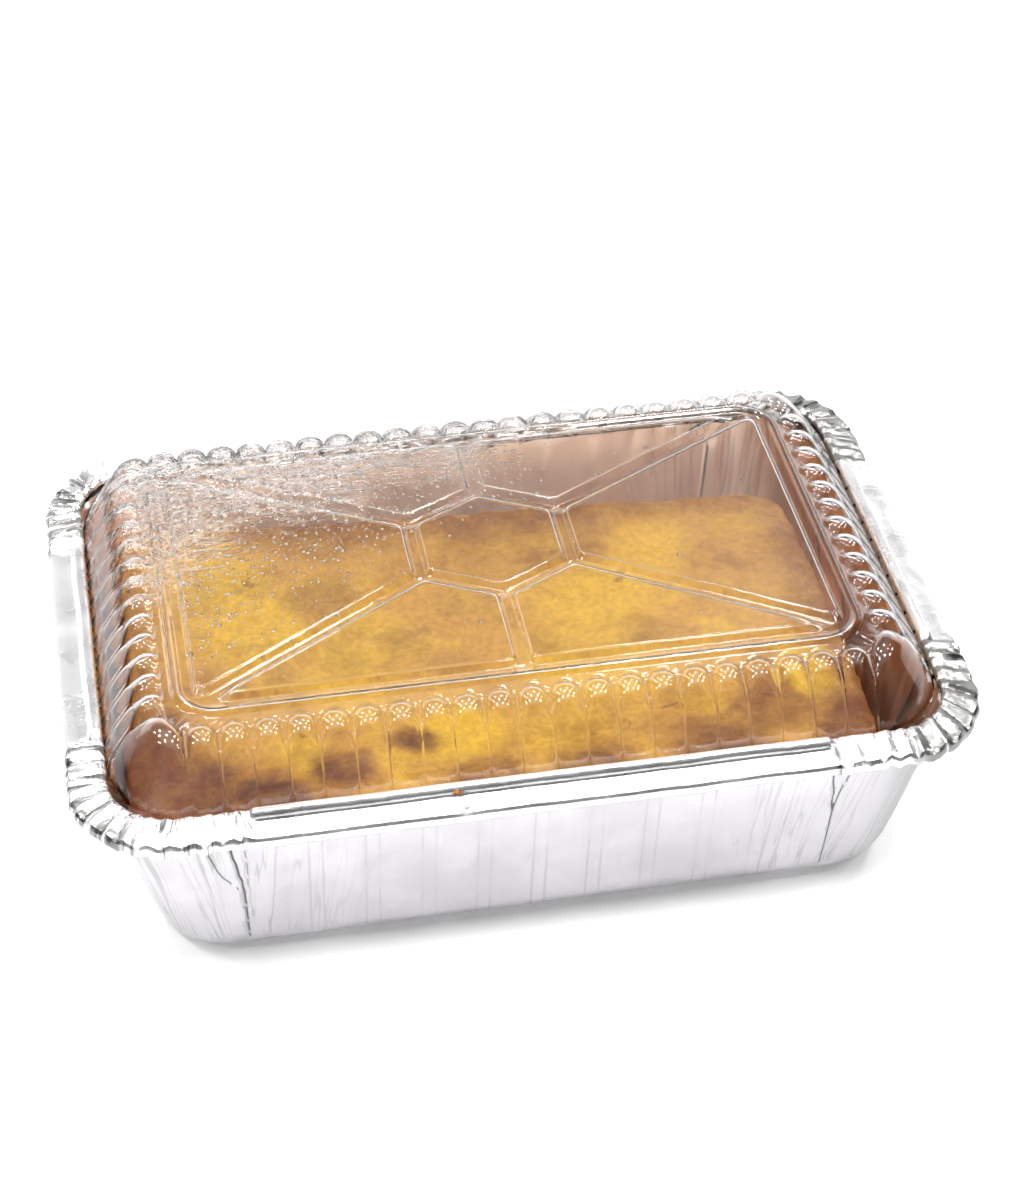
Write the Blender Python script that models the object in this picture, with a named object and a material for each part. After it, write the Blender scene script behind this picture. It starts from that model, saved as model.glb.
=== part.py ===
"""Sweet corn cake in its foil tray, shut with a crimped-on clear lid.

Metres, +Z up, +X along the long sides. The origin is the middle of the tray's underside.
Each closed outline runs anticlockwise, seen from above, from the front left corner.
"""
import math

import bmesh
import bpy
from mathutils import Vector, noise
from mathutils.geometry import tessellate_polygon

MM = 0.001

# Foil tray, outer faces
TRAY_FOIL = 0.6 * MM
RIM_HALF_X = 107.0 * MM
RIM_HALF_Y = 77.2 * MM
RIM_RADIUS = 24.4 * MM
BASE_HALF_X = 89.4 * MM
BASE_HALF_Y = 59.0 * MM
BASE_RADIUS = 17.0 * MM
BASE_EDGE = 6.0 * MM
SHELF_HEIGHT = 48.6 * MM
BAND_WIDTH = 8.6 * MM
FLUTE_PANEL = 10.0 * MM
FLUTE_STRIP = 3.2 * MM
FLUTE_DEPTH = 0.7 * MM
FLUTE_CLEAR_BELOW = 4.0 * MM
FLUTE_CLEAR_ABOVE = 3.0 * MM
BEAD_CLEAR_OF_CORNER = 40.0 * MM
BEAD_END = 3.0 * MM
RIM_CORNER_STATIONS = 12
BASE_SPACING_X = 24.0 * MM
BASE_SPACING_Y = 20.0 * MM
GATHERS_AT_CORNER = 10
GATHER_LIFT = 0.35 * MM
GATHER_SPREAD = 0.45 * MM

# Clear lid, outer faces
LID_SHEET = 0.5 * MM
BORDER_HALF_X = 80.8 * MM
BORDER_HALF_Y = 49.4 * MM
BORDER_RADIUS = 10.0 * MM
BORDER_HEIGHT = 67.1 * MM
RIB_PITCH = 7.6 * MM
RIBS_ON_LONG_SIDE = 21
RIBS_ON_SHORT_SIDE = 12
FLANGE_HALF_X = 104.9 * MM
FLANGE_HALF_Y = 75.1 * MM
FLANGE_RADIUS = 22.6 * MM
FLANGE_HEIGHT = 50.2 * MM
CHANNEL_DEPTH = 1.5 * MM
CHANNEL_WIDTH = 4.4 * MM
CHANNEL_SLOPE = 1.0 * MM
PANEL_RISE = 0.6 * MM
PANEL_MARGIN = 5.2 * MM
PANEL_CORNER = 2.6 * MM
HEXAGON_SHIFT_Y = 2.6 * MM
HEXAGON_SIDE_X = 18.5 * MM
HEXAGON_SHOULDER = 10.8 * MM
HEXAGON_APEX = 20.6 * MM
FLANGE_SPACING_X = 26.0 * MM
FLANGE_SPACING_Y = 22.0 * MM
BORDER_SPACING_X = 17.0 * MM
BORDER_SPACING_Y = 19.0 * MM
BORDER_CROWN = 0.8 * MM
BORDER_INNER_SLOPE = 1.0 * MM

# Cake
CAKE_BASE = 1.0 * MM
CAKE_TOP = 41.5 * MM
CAKE_GAP = 1.2 * MM
CAKE_GAP_RIGHT = 10.5 * MM
CAKE_GAP_BACK = 9.5 * MM
CAKE_BACK_SKEW = 11.0 * MM
CAKE_RADIUS = 14.0 * MM
CAKE_EDGE = 3.5 * MM
CAKE_LUMP = 1.3 * MM
CAKE_LUMP_SIZE = 17.0 * MM
CAKE_STATIONS = 64
CAKE_FOOT_INSET = 5.0 * MM
CAKE_FOOT_HEIGHT = 4.5 * MM
CAKE_FOOT_SWELL = 0.6 * MM
CAKE_SHOULDER_INSET = 0.3 * MM
CAKE_EDGE_INSET = 1.6 * MM
CAKE_EDGE_DROP = 0.8 * MM
CAKE_TOP_INSET = 5.0 * MM
CAKE_SMALLEST_RADIUS = 4.0 * MM
CAKE_MIDDLE = (-4.0 * MM, -4.0 * MM)

QUARTER = math.pi / 2


def clear_scene():
    for thing in list(bpy.data.objects):
        bpy.data.objects.remove(thing, do_unlink=True)


def make_material(name, colour, roughness, metallic=0.0, transmission=0.0):
    material = bpy.data.materials.new(name)
    material.use_nodes = True
    shader = material.node_tree.nodes["Principled BSDF"]
    shader.inputs["Base Color"].default_value = (*colour, 1.0)
    shader.inputs["Roughness"].default_value = roughness
    shader.inputs["Metallic"].default_value = metallic
    shader.inputs["Transmission Weight"].default_value = transmission
    return material


def make_object(name, mesh_builder, material, wall=None):
    """Puts a bmesh into the scene as one named object, with a wall inwards of its faces if it is a sheet."""
    mesh = bpy.data.meshes.new(name)
    mesh_builder.to_mesh(mesh)
    mesh_builder.free()
    mesh.materials.append(material)
    thing = bpy.data.objects.new(name, mesh)
    bpy.context.collection.objects.link(thing)
    if wall:
        skin = thing.modifiers.new("wall", "SOLIDIFY")
        skin.thickness = wall
        skin.offset = -1.0
    return thing


def outline_point(half_x, half_y, radius_x, radius_y, station):
    """A point of a rounded rectangle. A station is a side and a place along it, or a corner and an angle."""
    kind, place = station
    if kind == "front":
        return Vector((place, -half_y, 0.0))
    if kind == "right":
        return Vector((half_x, place, 0.0))
    if kind == "back":
        return Vector((place, half_y, 0.0))
    if kind == "left":
        return Vector((-half_x, place, 0.0))
    centre_x = kind[0] * (half_x - radius_x)
    centre_y = kind[1] * (half_y - radius_y)
    return Vector((centre_x + radius_x * math.cos(place), centre_y + radius_y * math.sin(place), 0.0))


def outline_stations(front_places, side_places, corner_steps):
    """Stations all the way round: places along each side, then an arc's inner points at the corner after it."""
    stations = []
    sides = (("front", front_places, (1, -1), -QUARTER),
             ("right", side_places, (1, 1), 0.0),
             ("back", [-x for x in front_places], (-1, 1), QUARTER),
             ("left", [-y for y in side_places], (-1, -1), 2 * QUARTER))
    for side, places, corner, start in sides:
        stations += [(side, place) for place in places]
        stations += [(corner, start + QUARTER * step) for step in corner_steps]
    return stations


def add_ring(builder, points):
    return [builder.verts.new(point) for point in points]


def bridge(builder, outer, inner):
    """Joins two rings of equal count, outer ring first, with faces on the side the outline's left hand shows."""
    count = len(outer)
    for i in range(count):
        j = (i + 1) % count
        builder.faces.new((outer[i], outer[j], inner[j]))
        builder.faces.new((outer[i], inner[j], inner[i]))


def bearing(vert, reference):
    return math.atan2(vert.co.y * reference, vert.co.x) % (2 * math.pi)


def zip_rings(builder, outer, inner, stretch):
    """Joins two rings of unlike counts by triangles, taken in the order of their bearings."""
    def turned(ring):
        angles = [bearing(vert, stretch) for vert in ring]
        first = angles.index(min(angles))
        order = ring[first:] + ring[:first]
        return order, [bearing(vert, stretch) for vert in order] + [angles[first] + 2 * math.pi]

    ring_a, angle_a = turned(outer)
    ring_b, angle_b = turned(inner)
    i = j = 0
    while i < len(ring_a) or j < len(ring_b):
        take_a = j >= len(ring_b) or (i < len(ring_a) and angle_a[i + 1] <= angle_b[j + 1])
        here_a = ring_a[i % len(ring_a)]
        here_b = ring_b[j % len(ring_b)]
        if take_a:
            builder.faces.new((here_a, ring_a[(i + 1) % len(ring_a)], here_b))
            i += 1
        else:
            builder.faces.new((here_a, ring_b[(j + 1) % len(ring_b)], here_b))
            j += 1


def inset_polygon(points, distance):
    """The convex anticlockwise polygon whose sides lie a distance inside the given one's."""
    count = len(points)
    moved = []
    for i in range(count):
        before = (points[i] - points[i - 1]).normalized()
        after = (points[(i + 1) % count] - points[i]).normalized()
        normal_before = Vector((-before.y, before.x))
        normal_after = Vector((-after.y, after.x))
        mean = (normal_before + normal_after).normalized()
        moved.append(points[i] + mean * (distance / mean.dot(normal_after)))
    return moved


def cut_corners(points, size):
    """Replaces each corner by two points, a size away along both sides."""
    count = len(points)
    cut = []
    for i in range(count):
        back = (points[i - 1] - points[i]).normalized()
        onward = (points[(i + 1) % count] - points[i]).normalized()
        cut.append(points[i] + back * size)
        cut.append(points[i] + onward * size)
    return cut


def channel_cells():
    """The lid top's hexagon and the six cells round it, bounded by the channels' centre lines."""
    edge_x = BORDER_HALF_X - PANEL_MARGIN + CHANNEL_WIDTH / 2
    edge_y = BORDER_HALF_Y - PANEL_MARGIN + CHANNEL_WIDTH / 2
    right_low = Vector((HEXAGON_SIDE_X, HEXAGON_SHIFT_Y - HEXAGON_SHOULDER))
    right_high = Vector((HEXAGON_SIDE_X, HEXAGON_SHIFT_Y + HEXAGON_SHOULDER))
    left_high = Vector((-HEXAGON_SIDE_X, HEXAGON_SHIFT_Y + HEXAGON_SHOULDER))
    left_low = Vector((-HEXAGON_SIDE_X, HEXAGON_SHIFT_Y - HEXAGON_SHOULDER))
    back_tip = Vector((0.0, HEXAGON_SHIFT_Y + HEXAGON_APEX))
    front_tip = Vector((0.0, HEXAGON_SHIFT_Y - HEXAGON_APEX))
    corner = {(sx, sy): Vector((sx * edge_x, sy * edge_y)) for sx in (-1, 1) for sy in (-1, 1)}
    front_middle = Vector((0.0, -edge_y))
    back_middle = Vector((0.0, edge_y))
    return [
        [right_low, right_high, back_tip, left_high, left_low, front_tip],
        [corner[1, -1], corner[1, 1], right_high, right_low],
        [corner[-1, 1], corner[-1, -1], left_low, left_high],
        [corner[-1, -1], front_middle, front_tip, left_low],
        [front_middle, corner[1, -1], right_low, front_tip],
        [corner[1, 1], back_middle, back_tip, right_high],
        [back_middle, corner[-1, 1], left_high, back_tip],
    ]


def rib_stations():
    """Lid stations with each one's weight: 0 in a valley between ribs, 1 on a rib's crest."""
    def along(count):
        start = -count / 2
        return [(start + k + part) * RIB_PITCH for k in range(count) for part in (0.0, 0.25, 0.75)]

    front = along(RIBS_ON_LONG_SIDE)
    side = along(RIBS_ON_SHORT_SIDE)
    corner_steps = (0.0, 0.18, 0.4, 0.6, 0.82)
    stations = outline_stations(front, side, corner_steps)
    weights = []
    for places in (front, side, front, side):
        weights += [0.0, 1.0, 1.0] * (len(places) // 3)
        weights += [0.0, 1.0, 1.0, 1.0, 1.0]
    return stations, weights


def build_lid():
    """One sheet: flange, ribbed wall, shoulder, border, channel floor and seven raised panels."""
    builder = bmesh.new()
    stations, weights = rib_stations()
    straight_x = RIBS_ON_LONG_SIDE * RIB_PITCH / 2
    straight_y = RIBS_ON_SHORT_SIDE * RIB_PITCH / 2

    def rib_ring(crest, valley):
        points = []
        for station, weight in zip(stations, weights):
            out = (valley[0] + (crest[0] - valley[0]) * weight) * MM
            height = (valley[1] + (crest[1] - valley[1]) * weight) * MM
            half_x = BORDER_HALF_X + out
            half_y = BORDER_HALF_Y + out
            point = outline_point(half_x, half_y, half_x - straight_x, half_y - straight_y, station)
            point.z = height
            points.append(point)
        return add_ring(builder, points)

    # Millimetres out from the border and above the tray's underside, on a crest and in a valley
    profile = (((17.4, 50.2), (17.0, 50.2)),
               ((16.9, 51.8), (15.5, 51.4)),
               ((12.6, 59.6), (10.1, 58.0)),
               ((8.6, 64.2), (6.2, 61.8)),
               ((4.6, 66.4), (3.1, 64.0)),
               ((1.3, 65.8), (1.1, 65.0)))
    rings = [rib_ring(crest, valley) for crest, valley in profile]
    for outer, inner in zip(rings, rings[1:]):
        bridge(builder, outer, inner)

    few_x = [x * FLANGE_SPACING_X for x in range(-3, 4)]
    few_y = [y * FLANGE_SPACING_Y for y in range(-2, 3)]
    flange_stations = outline_stations(few_x, few_y, (0.0, 0.2, 0.4, 0.6, 0.8, 1.0))
    flange = []
    for station in flange_stations:
        point = outline_point(FLANGE_HALF_X, FLANGE_HALF_Y, FLANGE_RADIUS, FLANGE_RADIUS, station)
        point.z = FLANGE_HEIGHT
        flange.append(point)
    stretch = BORDER_HALF_X / BORDER_HALF_Y
    zip_rings(builder, add_ring(builder, flange), rings[0], stretch)

    border_x = [x * BORDER_SPACING_X for x in range(-4, 5)]
    border_y = [y * BORDER_SPACING_Y for y in range(-2, 3)]
    border_stations = outline_stations(border_x, border_y, (0.0, 0.25, 0.5, 0.75, 1.0))

    def border_ring(inward, height):
        points = []
        for station in border_stations:
            point = outline_point(BORDER_HALF_X - inward, BORDER_HALF_Y - inward,
                                  BORDER_RADIUS - inward, BORDER_RADIUS - inward, station)
            point.z = height
            points.append(point)
        return add_ring(builder, points)

    floor_height = BORDER_HEIGHT - CHANNEL_DEPTH + PANEL_RISE / 2
    border = border_ring(0.0, BORDER_HEIGHT)
    crown = border_ring(BORDER_CROWN, BORDER_HEIGHT)
    floor_edge = border_ring(BORDER_CROWN + BORDER_INNER_SLOPE, floor_height)
    zip_rings(builder, rings[-1], border, stretch)
    bridge(builder, border, crown)
    bridge(builder, crown, floor_edge)

    panel_height = BORDER_HEIGHT + PANEL_RISE
    loops = [floor_edge]
    for cell in channel_cells():
        top = cut_corners(inset_polygon(cell, CHANNEL_WIDTH / 2), PANEL_CORNER)
        foot = cut_corners(inset_polygon(cell, CHANNEL_WIDTH / 2 - CHANNEL_SLOPE), PANEL_CORNER)
        top_ring = add_ring(builder, [(p.x, p.y, panel_height) for p in top])
        foot_ring = add_ring(builder, [(p.x, p.y, floor_height) for p in foot])
        bridge(builder, foot_ring, top_ring)
        builder.faces.new(top_ring)
        loops.append(foot_ring)
    floor_verts = [vert for loop in loops for vert in loop]
    flat_loops = [[vert.co.copy() for vert in loop] for loop in loops]
    for corners in tessellate_polygon(flat_loops):
        corner_verts = [floor_verts[i] for i in corners]
        face = builder.faces.new(corner_verts)
        face.normal_update()
        if face.normal.z < 0:
            face.normal_flip()
    bmesh.ops.triangulate(builder, faces=builder.faces[:])
    plastic = make_material("clear lid", (0.93, 0.94, 0.95), 0.08, transmission=1.0)
    return make_object("lid", builder, plastic, wall=LID_SHEET)


def wall_stations():
    """Stations of the tray's wall, with 1 on its wide flat panels and 0 in the narrow strips between them."""
    def along(half_straight):
        pitch = FLUTE_PANEL + FLUTE_STRIP
        count = int(2 * half_straight / pitch)
        places = []
        weights = []
        for k in range(count):
            middle = (k - (count - 1) / 2) * pitch
            for offset, weight in ((-0.5, 1.0), (0.5, 1.0)):
                places.append(middle + offset * FLUTE_PANEL)
                weights.append(weight)
            if k < count - 1:
                for part in (0.2, 0.8):
                    places.append(middle + FLUTE_PANEL / 2 + part * FLUTE_STRIP)
                    weights.append(0.0)
        return places, weights

    front, front_weights = along(BASE_HALF_X - BASE_RADIUS)
    side, side_weights = along(BASE_HALF_Y - BASE_RADIUS)
    steps = (0.0, 0.2, 0.4, 0.6, 0.8, 1.0)
    stations = outline_stations(front, side, steps)
    weights = []
    for on_side in (front_weights, side_weights, front_weights, side_weights):
        weights += on_side
        weights += [1.0] * len(steps)
    return stations, weights


def rim_stations():
    """Stations of the tray's rim: wide spaces along the bead, close gathers round each corner."""
    gathered = BEAD_CLEAR_OF_CORNER
    spacing = (2 * (gathered - RIM_RADIUS) + QUARTER * RIM_RADIUS) / (2 * GATHERS_AT_CORNER)
    beside = int((gathered - RIM_RADIUS) / spacing)

    def along(half):
        straight_end = half - RIM_RADIUS
        bead_end = half - gathered
        near = [straight_end - k * spacing for k in range(beside, 0, -1)]
        full = bead_end - BEAD_END
        bead = [-bead_end, -full, -bead_end / 3, bead_end / 3, full, bead_end]
        plain = [0.0] * len(near)
        places = [-x for x in reversed(near)] + bead + near
        return places, plain + [0.0, 1.0, 1.0, 1.0, 1.0, 0.0] + plain

    front, front_beads = along(RIM_HALF_X)
    side, side_beads = along(RIM_HALF_Y)
    steps = [k / (RIM_CORNER_STATIONS - 1) for k in range(RIM_CORNER_STATIONS)]
    stations = outline_stations(front, side, steps)
    beads = []
    for on_side in (front_beads, side_beads, front_beads, side_beads):
        beads += on_side
        beads += [0.0] * len(steps)
    return stations, beads


def tray_wall_half(height):
    """Half length and half width of the tray's outer wall at a height."""
    part = height / SHELF_HEIGHT
    top_x = RIM_HALF_X - BAND_WIDTH + TRAY_FOIL
    top_y = RIM_HALF_Y - BAND_WIDTH + TRAY_FOIL
    return BASE_HALF_X + (top_x - BASE_HALF_X) * part, BASE_HALF_Y + (top_y - BASE_HALF_Y) * part


def build_tray():
    """One sheet: base, tapered fluted wall, shelf, and the rim folded back over the lid's flange."""
    builder = bmesh.new()
    stretch = RIM_HALF_X / RIM_HALF_Y
    plain_x = [x * BASE_SPACING_X for x in range(-3, 4)]
    plain_y = [y * BASE_SPACING_Y for y in range(-2, 3)]
    plain = outline_stations(plain_x, plain_y, (0.0, 0.2, 0.4, 0.6, 0.8, 1.0))

    def plain_ring(half_x, half_y, radius, height):
        points = [outline_point(half_x, half_y, radius, radius, station) for station in plain]
        for point in points:
            point.z = height
        return add_ring(builder, points)

    # Rounded bottom edge, then the fluted wall
    edge_rings = []
    for turn in (0.0, 0.45, 1.0):
        angle = turn * QUARTER
        height = BASE_EDGE * (1 - math.cos(angle))
        half_x, half_y = tray_wall_half(height)
        inward = BASE_EDGE * (1 - math.sin(angle))
        edge_rings.append(plain_ring(half_x - inward, half_y - inward, BASE_RADIUS - inward, height))
    builder.faces.new(list(reversed(edge_rings[0])))
    for lower, upper in zip(edge_rings, edge_rings[1:]):
        bridge(builder, lower, upper)

    stations, weights = wall_stations()

    def wall_ring(height, depth):
        half_x, half_y = tray_wall_half(height)
        points = []
        for station, weight in zip(stations, weights):
            inward = depth * (1 - weight)
            point = outline_point(half_x - inward, half_y - inward, BASE_RADIUS, BASE_RADIUS, station)
            point.z = height
            points.append(point)
        return add_ring(builder, points)

    low_wall = wall_ring(BASE_EDGE + FLUTE_CLEAR_BELOW, FLUTE_DEPTH)
    high_wall = wall_ring(SHELF_HEIGHT - FLUTE_CLEAR_ABOVE, FLUTE_DEPTH)
    zip_rings(builder, edge_rings[-1], low_wall, stretch)
    bridge(builder, low_wall, high_wall)

    rim, beads = rim_stations()

    def rim_ring(inward, height, bead_inward=None, bead_height=None, gather=0.0):
        points = []
        for index, (station, bead) in enumerate(zip(rim, beads)):
            bead_in = inward if bead_inward is None else bead_inward
            bead_up = height if bead_height is None else bead_height
            away = inward + (bead_in - inward) * bead
            up = height + (bead_up - height) * bead
            swing = (1 - bead) * gather * (1 if index % 2 else -1)
            away -= swing * GATHER_SPREAD
            up += swing * GATHER_LIFT
            point = outline_point(RIM_HALF_X - away, RIM_HALF_Y - away,
                                  RIM_RADIUS - away, RIM_RADIUS - away, station)
            point.z = up
            points.append(point)
        return add_ring(builder, points)

    top_half_x, _ = tray_wall_half(SHELF_HEIGHT)
    shelf_in = RIM_HALF_X - top_half_x
    rim_rings = [
        rim_ring(shelf_in, SHELF_HEIGHT),
        rim_ring(0.6 * MM, SHELF_HEIGHT, gather=0.4),
        rim_ring(0.0, 50.2 * MM, gather=1.0),
        rim_ring(0.7 * MM, 51.7 * MM, 0.7 * MM, 51.4 * MM, gather=1.0),
        rim_ring(5.6 * MM, 52.8 * MM, 5.6 * MM, 52.3 * MM, gather=1.0),
        rim_ring(7.2 * MM, 53.0 * MM, 6.6 * MM, 54.0 * MM, gather=0.8),
        rim_ring(8.6 * MM, 52.9 * MM, 8.5 * MM, 53.8 * MM, gather=0.5),
        rim_ring(9.2 * MM, 51.9 * MM, 9.0 * MM, 52.2 * MM, gather=0.2),
    ]
    zip_rings(builder, high_wall, rim_rings[0], stretch)
    for outer, inner in zip(rim_rings, rim_rings[1:]):
        bridge(builder, outer, inner)
    bmesh.ops.triangulate(builder, faces=builder.faces[:])
    foil = make_material("foil", (0.86, 0.86, 0.88), 0.28, metallic=1.0)
    return make_object("tray", builder, foil, wall=TRAY_FOIL)


def lump(point, amount):
    """Soft, seeded unevenness of the crust."""
    place = Vector(point) / CAKE_LUMP_SIZE
    return amount * (noise.noise(place) + 0.5 * noise.noise(place * 2.3 + Vector((7.1, 2.3, 4.9))))


def build_cake():
    """A solid block with an uneven crust, against the tray at the left and front, shrunk away elsewhere."""
    builder = bmesh.new()

    def outline(height, inward):
        outer_x, outer_y = tray_wall_half(height)
        left = -(outer_x - TRAY_FOIL - FLUTE_DEPTH - CAKE_GAP) + inward
        right = outer_x - TRAY_FOIL - CAKE_GAP_RIGHT - inward
        front = -(outer_y - TRAY_FOIL - FLUTE_DEPTH - CAKE_GAP) + inward
        back = outer_y - TRAY_FOIL - CAKE_GAP_BACK - inward
        middle = Vector(((left + right) / 2, (front + back) / 2, 0.0))
        half_x = (right - left) / 2
        half_y = (back - front) / 2
        radius = max(CAKE_RADIUS - inward, CAKE_SMALLEST_RADIUS)
        points = []
        for k in range(CAKE_STATIONS):
            angle = 2 * math.pi * (k + 0.5) / CAKE_STATIONS
            reach_x = half_x - radius
            reach_y = half_y - radius
            ray = Vector((math.cos(angle) * half_x, math.sin(angle) * half_y, 0.0))
            scale = max(abs(ray.x) / half_x, abs(ray.y) / half_y)
            square = ray / scale
            inner = Vector((max(-reach_x, min(reach_x, square.x)), max(-reach_y, min(reach_y, square.y)), 0.0))
            arm = square - inner
            point = middle + inner + (arm.normalized() * radius if arm.length > 0 else arm)
            back_part = (point.y - front) / (back - front)
            right_part = (point.x - left) / (right - left)
            point.y -= CAKE_BACK_SKEW * back_part * right_part
            point.z = height
            points.append(point)
        return points

    def crust(points, amount):
        return [point + Vector((0.0, 0.0, lump((point.x, point.y, 0.0), amount))) for point in points]

    lowest = outline(CAKE_BASE, CAKE_FOOT_INSET)
    low = outline(CAKE_BASE + CAKE_FOOT_HEIGHT, CAKE_FOOT_SWELL)
    shoulder = outline(CAKE_TOP - CAKE_EDGE, CAKE_SHOULDER_INSET)
    edge = outline(CAKE_TOP - CAKE_EDGE_DROP, CAKE_EDGE_INSET)
    rings = [add_ring(builder, lowest), add_ring(builder, low)]
    rings += [add_ring(builder, crust(shoulder, CAKE_LUMP)), add_ring(builder, crust(edge, CAKE_LUMP))]
    centre = Vector((*CAKE_MIDDLE, CAKE_TOP))
    rim = outline(CAKE_TOP, CAKE_TOP_INSET)
    for part in (1.0, 0.84, 0.66, 0.48, 0.3, 0.13):
        ring = [centre.lerp(point, part) for point in rim]
        rings.append(add_ring(builder, crust(ring, 1.4 * CAKE_LUMP)))
    for outer, inner in zip(rings, rings[1:]):
        bridge(builder, outer, inner)
    builder.faces.new(list(reversed(rings[0])))
    builder.faces.new(rings[-1])
    bmesh.ops.triangulate(builder, faces=builder.faces[:])
    crumb = make_material("baked corn", (0.72, 0.42, 0.10), 0.6)
    return make_object("cake", builder, crumb)


def shade_round(thing, sharp_degrees):
    thing.data.shade_smooth()
    thing.data.set_sharp_from_angle(angle=math.radians(sharp_degrees))


clear_scene()
shade_round(build_tray(), 35)
shade_round(build_lid(), 35)
shade_round(build_cake(), 60)
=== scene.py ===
"""Sweet corn cake in a foil tray with a crimped-on clear lid: pieces, finishes and studio stage.

Metres, +Z up, +X along the long sides, origin in the middle of the tray's underside.
Each closed outline runs anticlockwise, seen from above, from the front left corner.
"""
import math
import random

import bmesh
import bpy
import numpy as np
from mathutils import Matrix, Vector, noise


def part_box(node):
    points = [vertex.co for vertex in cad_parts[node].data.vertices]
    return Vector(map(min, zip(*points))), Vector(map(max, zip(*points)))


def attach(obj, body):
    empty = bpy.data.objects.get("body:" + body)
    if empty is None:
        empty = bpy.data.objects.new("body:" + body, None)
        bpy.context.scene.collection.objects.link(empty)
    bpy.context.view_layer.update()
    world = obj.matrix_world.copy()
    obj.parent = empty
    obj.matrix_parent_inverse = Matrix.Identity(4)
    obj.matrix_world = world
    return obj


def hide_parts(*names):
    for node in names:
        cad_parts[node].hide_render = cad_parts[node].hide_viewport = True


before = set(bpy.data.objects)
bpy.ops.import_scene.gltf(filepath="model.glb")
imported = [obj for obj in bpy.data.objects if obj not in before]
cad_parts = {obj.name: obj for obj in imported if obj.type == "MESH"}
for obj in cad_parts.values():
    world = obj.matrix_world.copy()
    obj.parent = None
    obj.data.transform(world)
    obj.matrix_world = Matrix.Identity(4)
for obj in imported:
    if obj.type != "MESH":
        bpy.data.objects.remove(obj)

bl_info = {
    "name": "Corn Cake Pack",
    "version": (1, 0, 0),
    "blender": (4, 5, 0),
    "location": "3D View > Sidebar > Corn Cake",
    "description": "Makes a corn cake in its foil tray and clear lid, with its studio stage",
    "category": "Object",
}

MM = 0.001
QUARTER = math.pi / 2
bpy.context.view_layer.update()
TRAY_LOW, TRAY_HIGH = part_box("tray")
LID_LOW, LID_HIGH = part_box("lid")
CAKE_LOW, CAKE_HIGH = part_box("cake")

# The gathers stand this far out of the plain rim in the frame's box
GATHER_REACH = 0.45 * MM


def length_prop(name, description, default):
    return bpy.props.FloatProperty(name=name, description=description, default=default,
                                   unit="LENGTH", subtype="DISTANCE", precision=5)


def share_prop(name, description, default):
    return bpy.props.FloatProperty(name=name, description=description, default=default,
                                   min=0.0, max=1.0, subtype="FACTOR")


def colour_prop(name, description, default):
    return bpy.props.FloatVectorProperty(name=name, description=description, default=default,
                                         min=0.0, max=1.0, size=3, subtype="COLOR")


class TrayLook(bpy.types.PropertyGroup):
    """Sizes and finish of the foil tray"""
    foil: length_prop("Foil", "Thickness of the tray's wall", 0.6 * MM)
    rim_radius: length_prop("Rim radius", "Corner radius of the rim's outer edge", 24.4 * MM)
    base_half_x: length_prop("Base half length", "Half length of the base", 89.4 * MM)
    base_half_y: length_prop("Base half width", "Half width of the base", 59.0 * MM)
    base_radius: length_prop("Base radius", "Corner radius of the base and the wall", 17.0 * MM)
    base_edge: length_prop("Base edge", "Rounding between the base and the wall", 6.0 * MM)
    shelf_height: length_prop("Shelf height", "Height of the shelf that carries the lid", 48.6 * MM)
    band_width: length_prop("Band width", "Width of the rim folded over the lid", 8.6 * MM)
    bead_clearance: length_prop("Bead clearance", "Length at each corner without a bead", 40.0 * MM)
    gather_height: length_prop("Gather height", "Height of the folds round the corners", 0.75 * MM)
    gather_spread: length_prop("Gather spread", "Reach of the folds at the outer edge", 0.4 * MM)
    foil_colour: colour_prop("Foil colour", "Colour of the pressed rim", (0.90, 0.885, 0.90))
    wall_colour: colour_prop("Wall colour", "Colour of the dull outer wall", (0.74, 0.727, 0.745))
    # Painted shade: the colour that folds, creases and shadowed pleats are darkened towards
    fold_shade_colour: colour_prop("Fold shade", "Painted shade deep in the creases", (0.10, 0.10, 0.09))
    # The inside's tints are partly browned syrup and partly painted reflection of the cake
    stain_and_reflection_colour: colour_prop("Stain and reflection colour", "Colour of the stained foil with painted reflection inside", (0.95, 0.79, 0.66))
    deep_stain_and_reflection: colour_prop("Deep stain and reflection", "Colour where the syrup has browned, with painted reflection of the cake's brown sides", (0.42, 0.165, 0.055))
    wall_roughness: share_prop("Wall roughness", "Roughness of the tray's wall", 0.42)
    rim_roughness: share_prop("Rim roughness", "Roughness of the pressed rim", 0.20)


class LidLook(bpy.types.PropertyGroup):
    """Sizes and finish of the clear lid"""
    sheet: length_prop("Sheet", "Thickness of the lid's sheet", 0.5 * MM)
    border_half_x: length_prop("Border half length", "Half length of the top's border", 80.8 * MM)
    border_half_y: length_prop("Border half width", "Half width of the top's border", 49.4 * MM)
    border_radius: length_prop("Border radius", "Corner radius of the top's border", 10.0 * MM)
    rib_pitch: length_prop("Rib pitch", "Distance from rib to rib", 7.6 * MM)
    channel_width: length_prop("Channel width", "Width of the grooves between the panels", 4.4 * MM)
    channel_slope: length_prop("Channel slope", "Run of each groove's side", 1.0 * MM)
    hexagon_side: length_prop("Hexagon side", "Half width of the middle panel", 18.5 * MM)
    hexagon_apex: length_prop("Hexagon apex", "Half length of the middle panel", 20.6 * MM)
    refraction: bpy.props.FloatProperty(name="Refraction", description="Refractive index of the plastic",
                                        default=1.5, min=1.0, max=2.0)
    clear_roughness: share_prop("Clear roughness", "Roughness of the clean plastic", 0.03)
    fog_roughness: share_prop("Fog roughness", "Roughness where steam has settled", 0.32)


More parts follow.
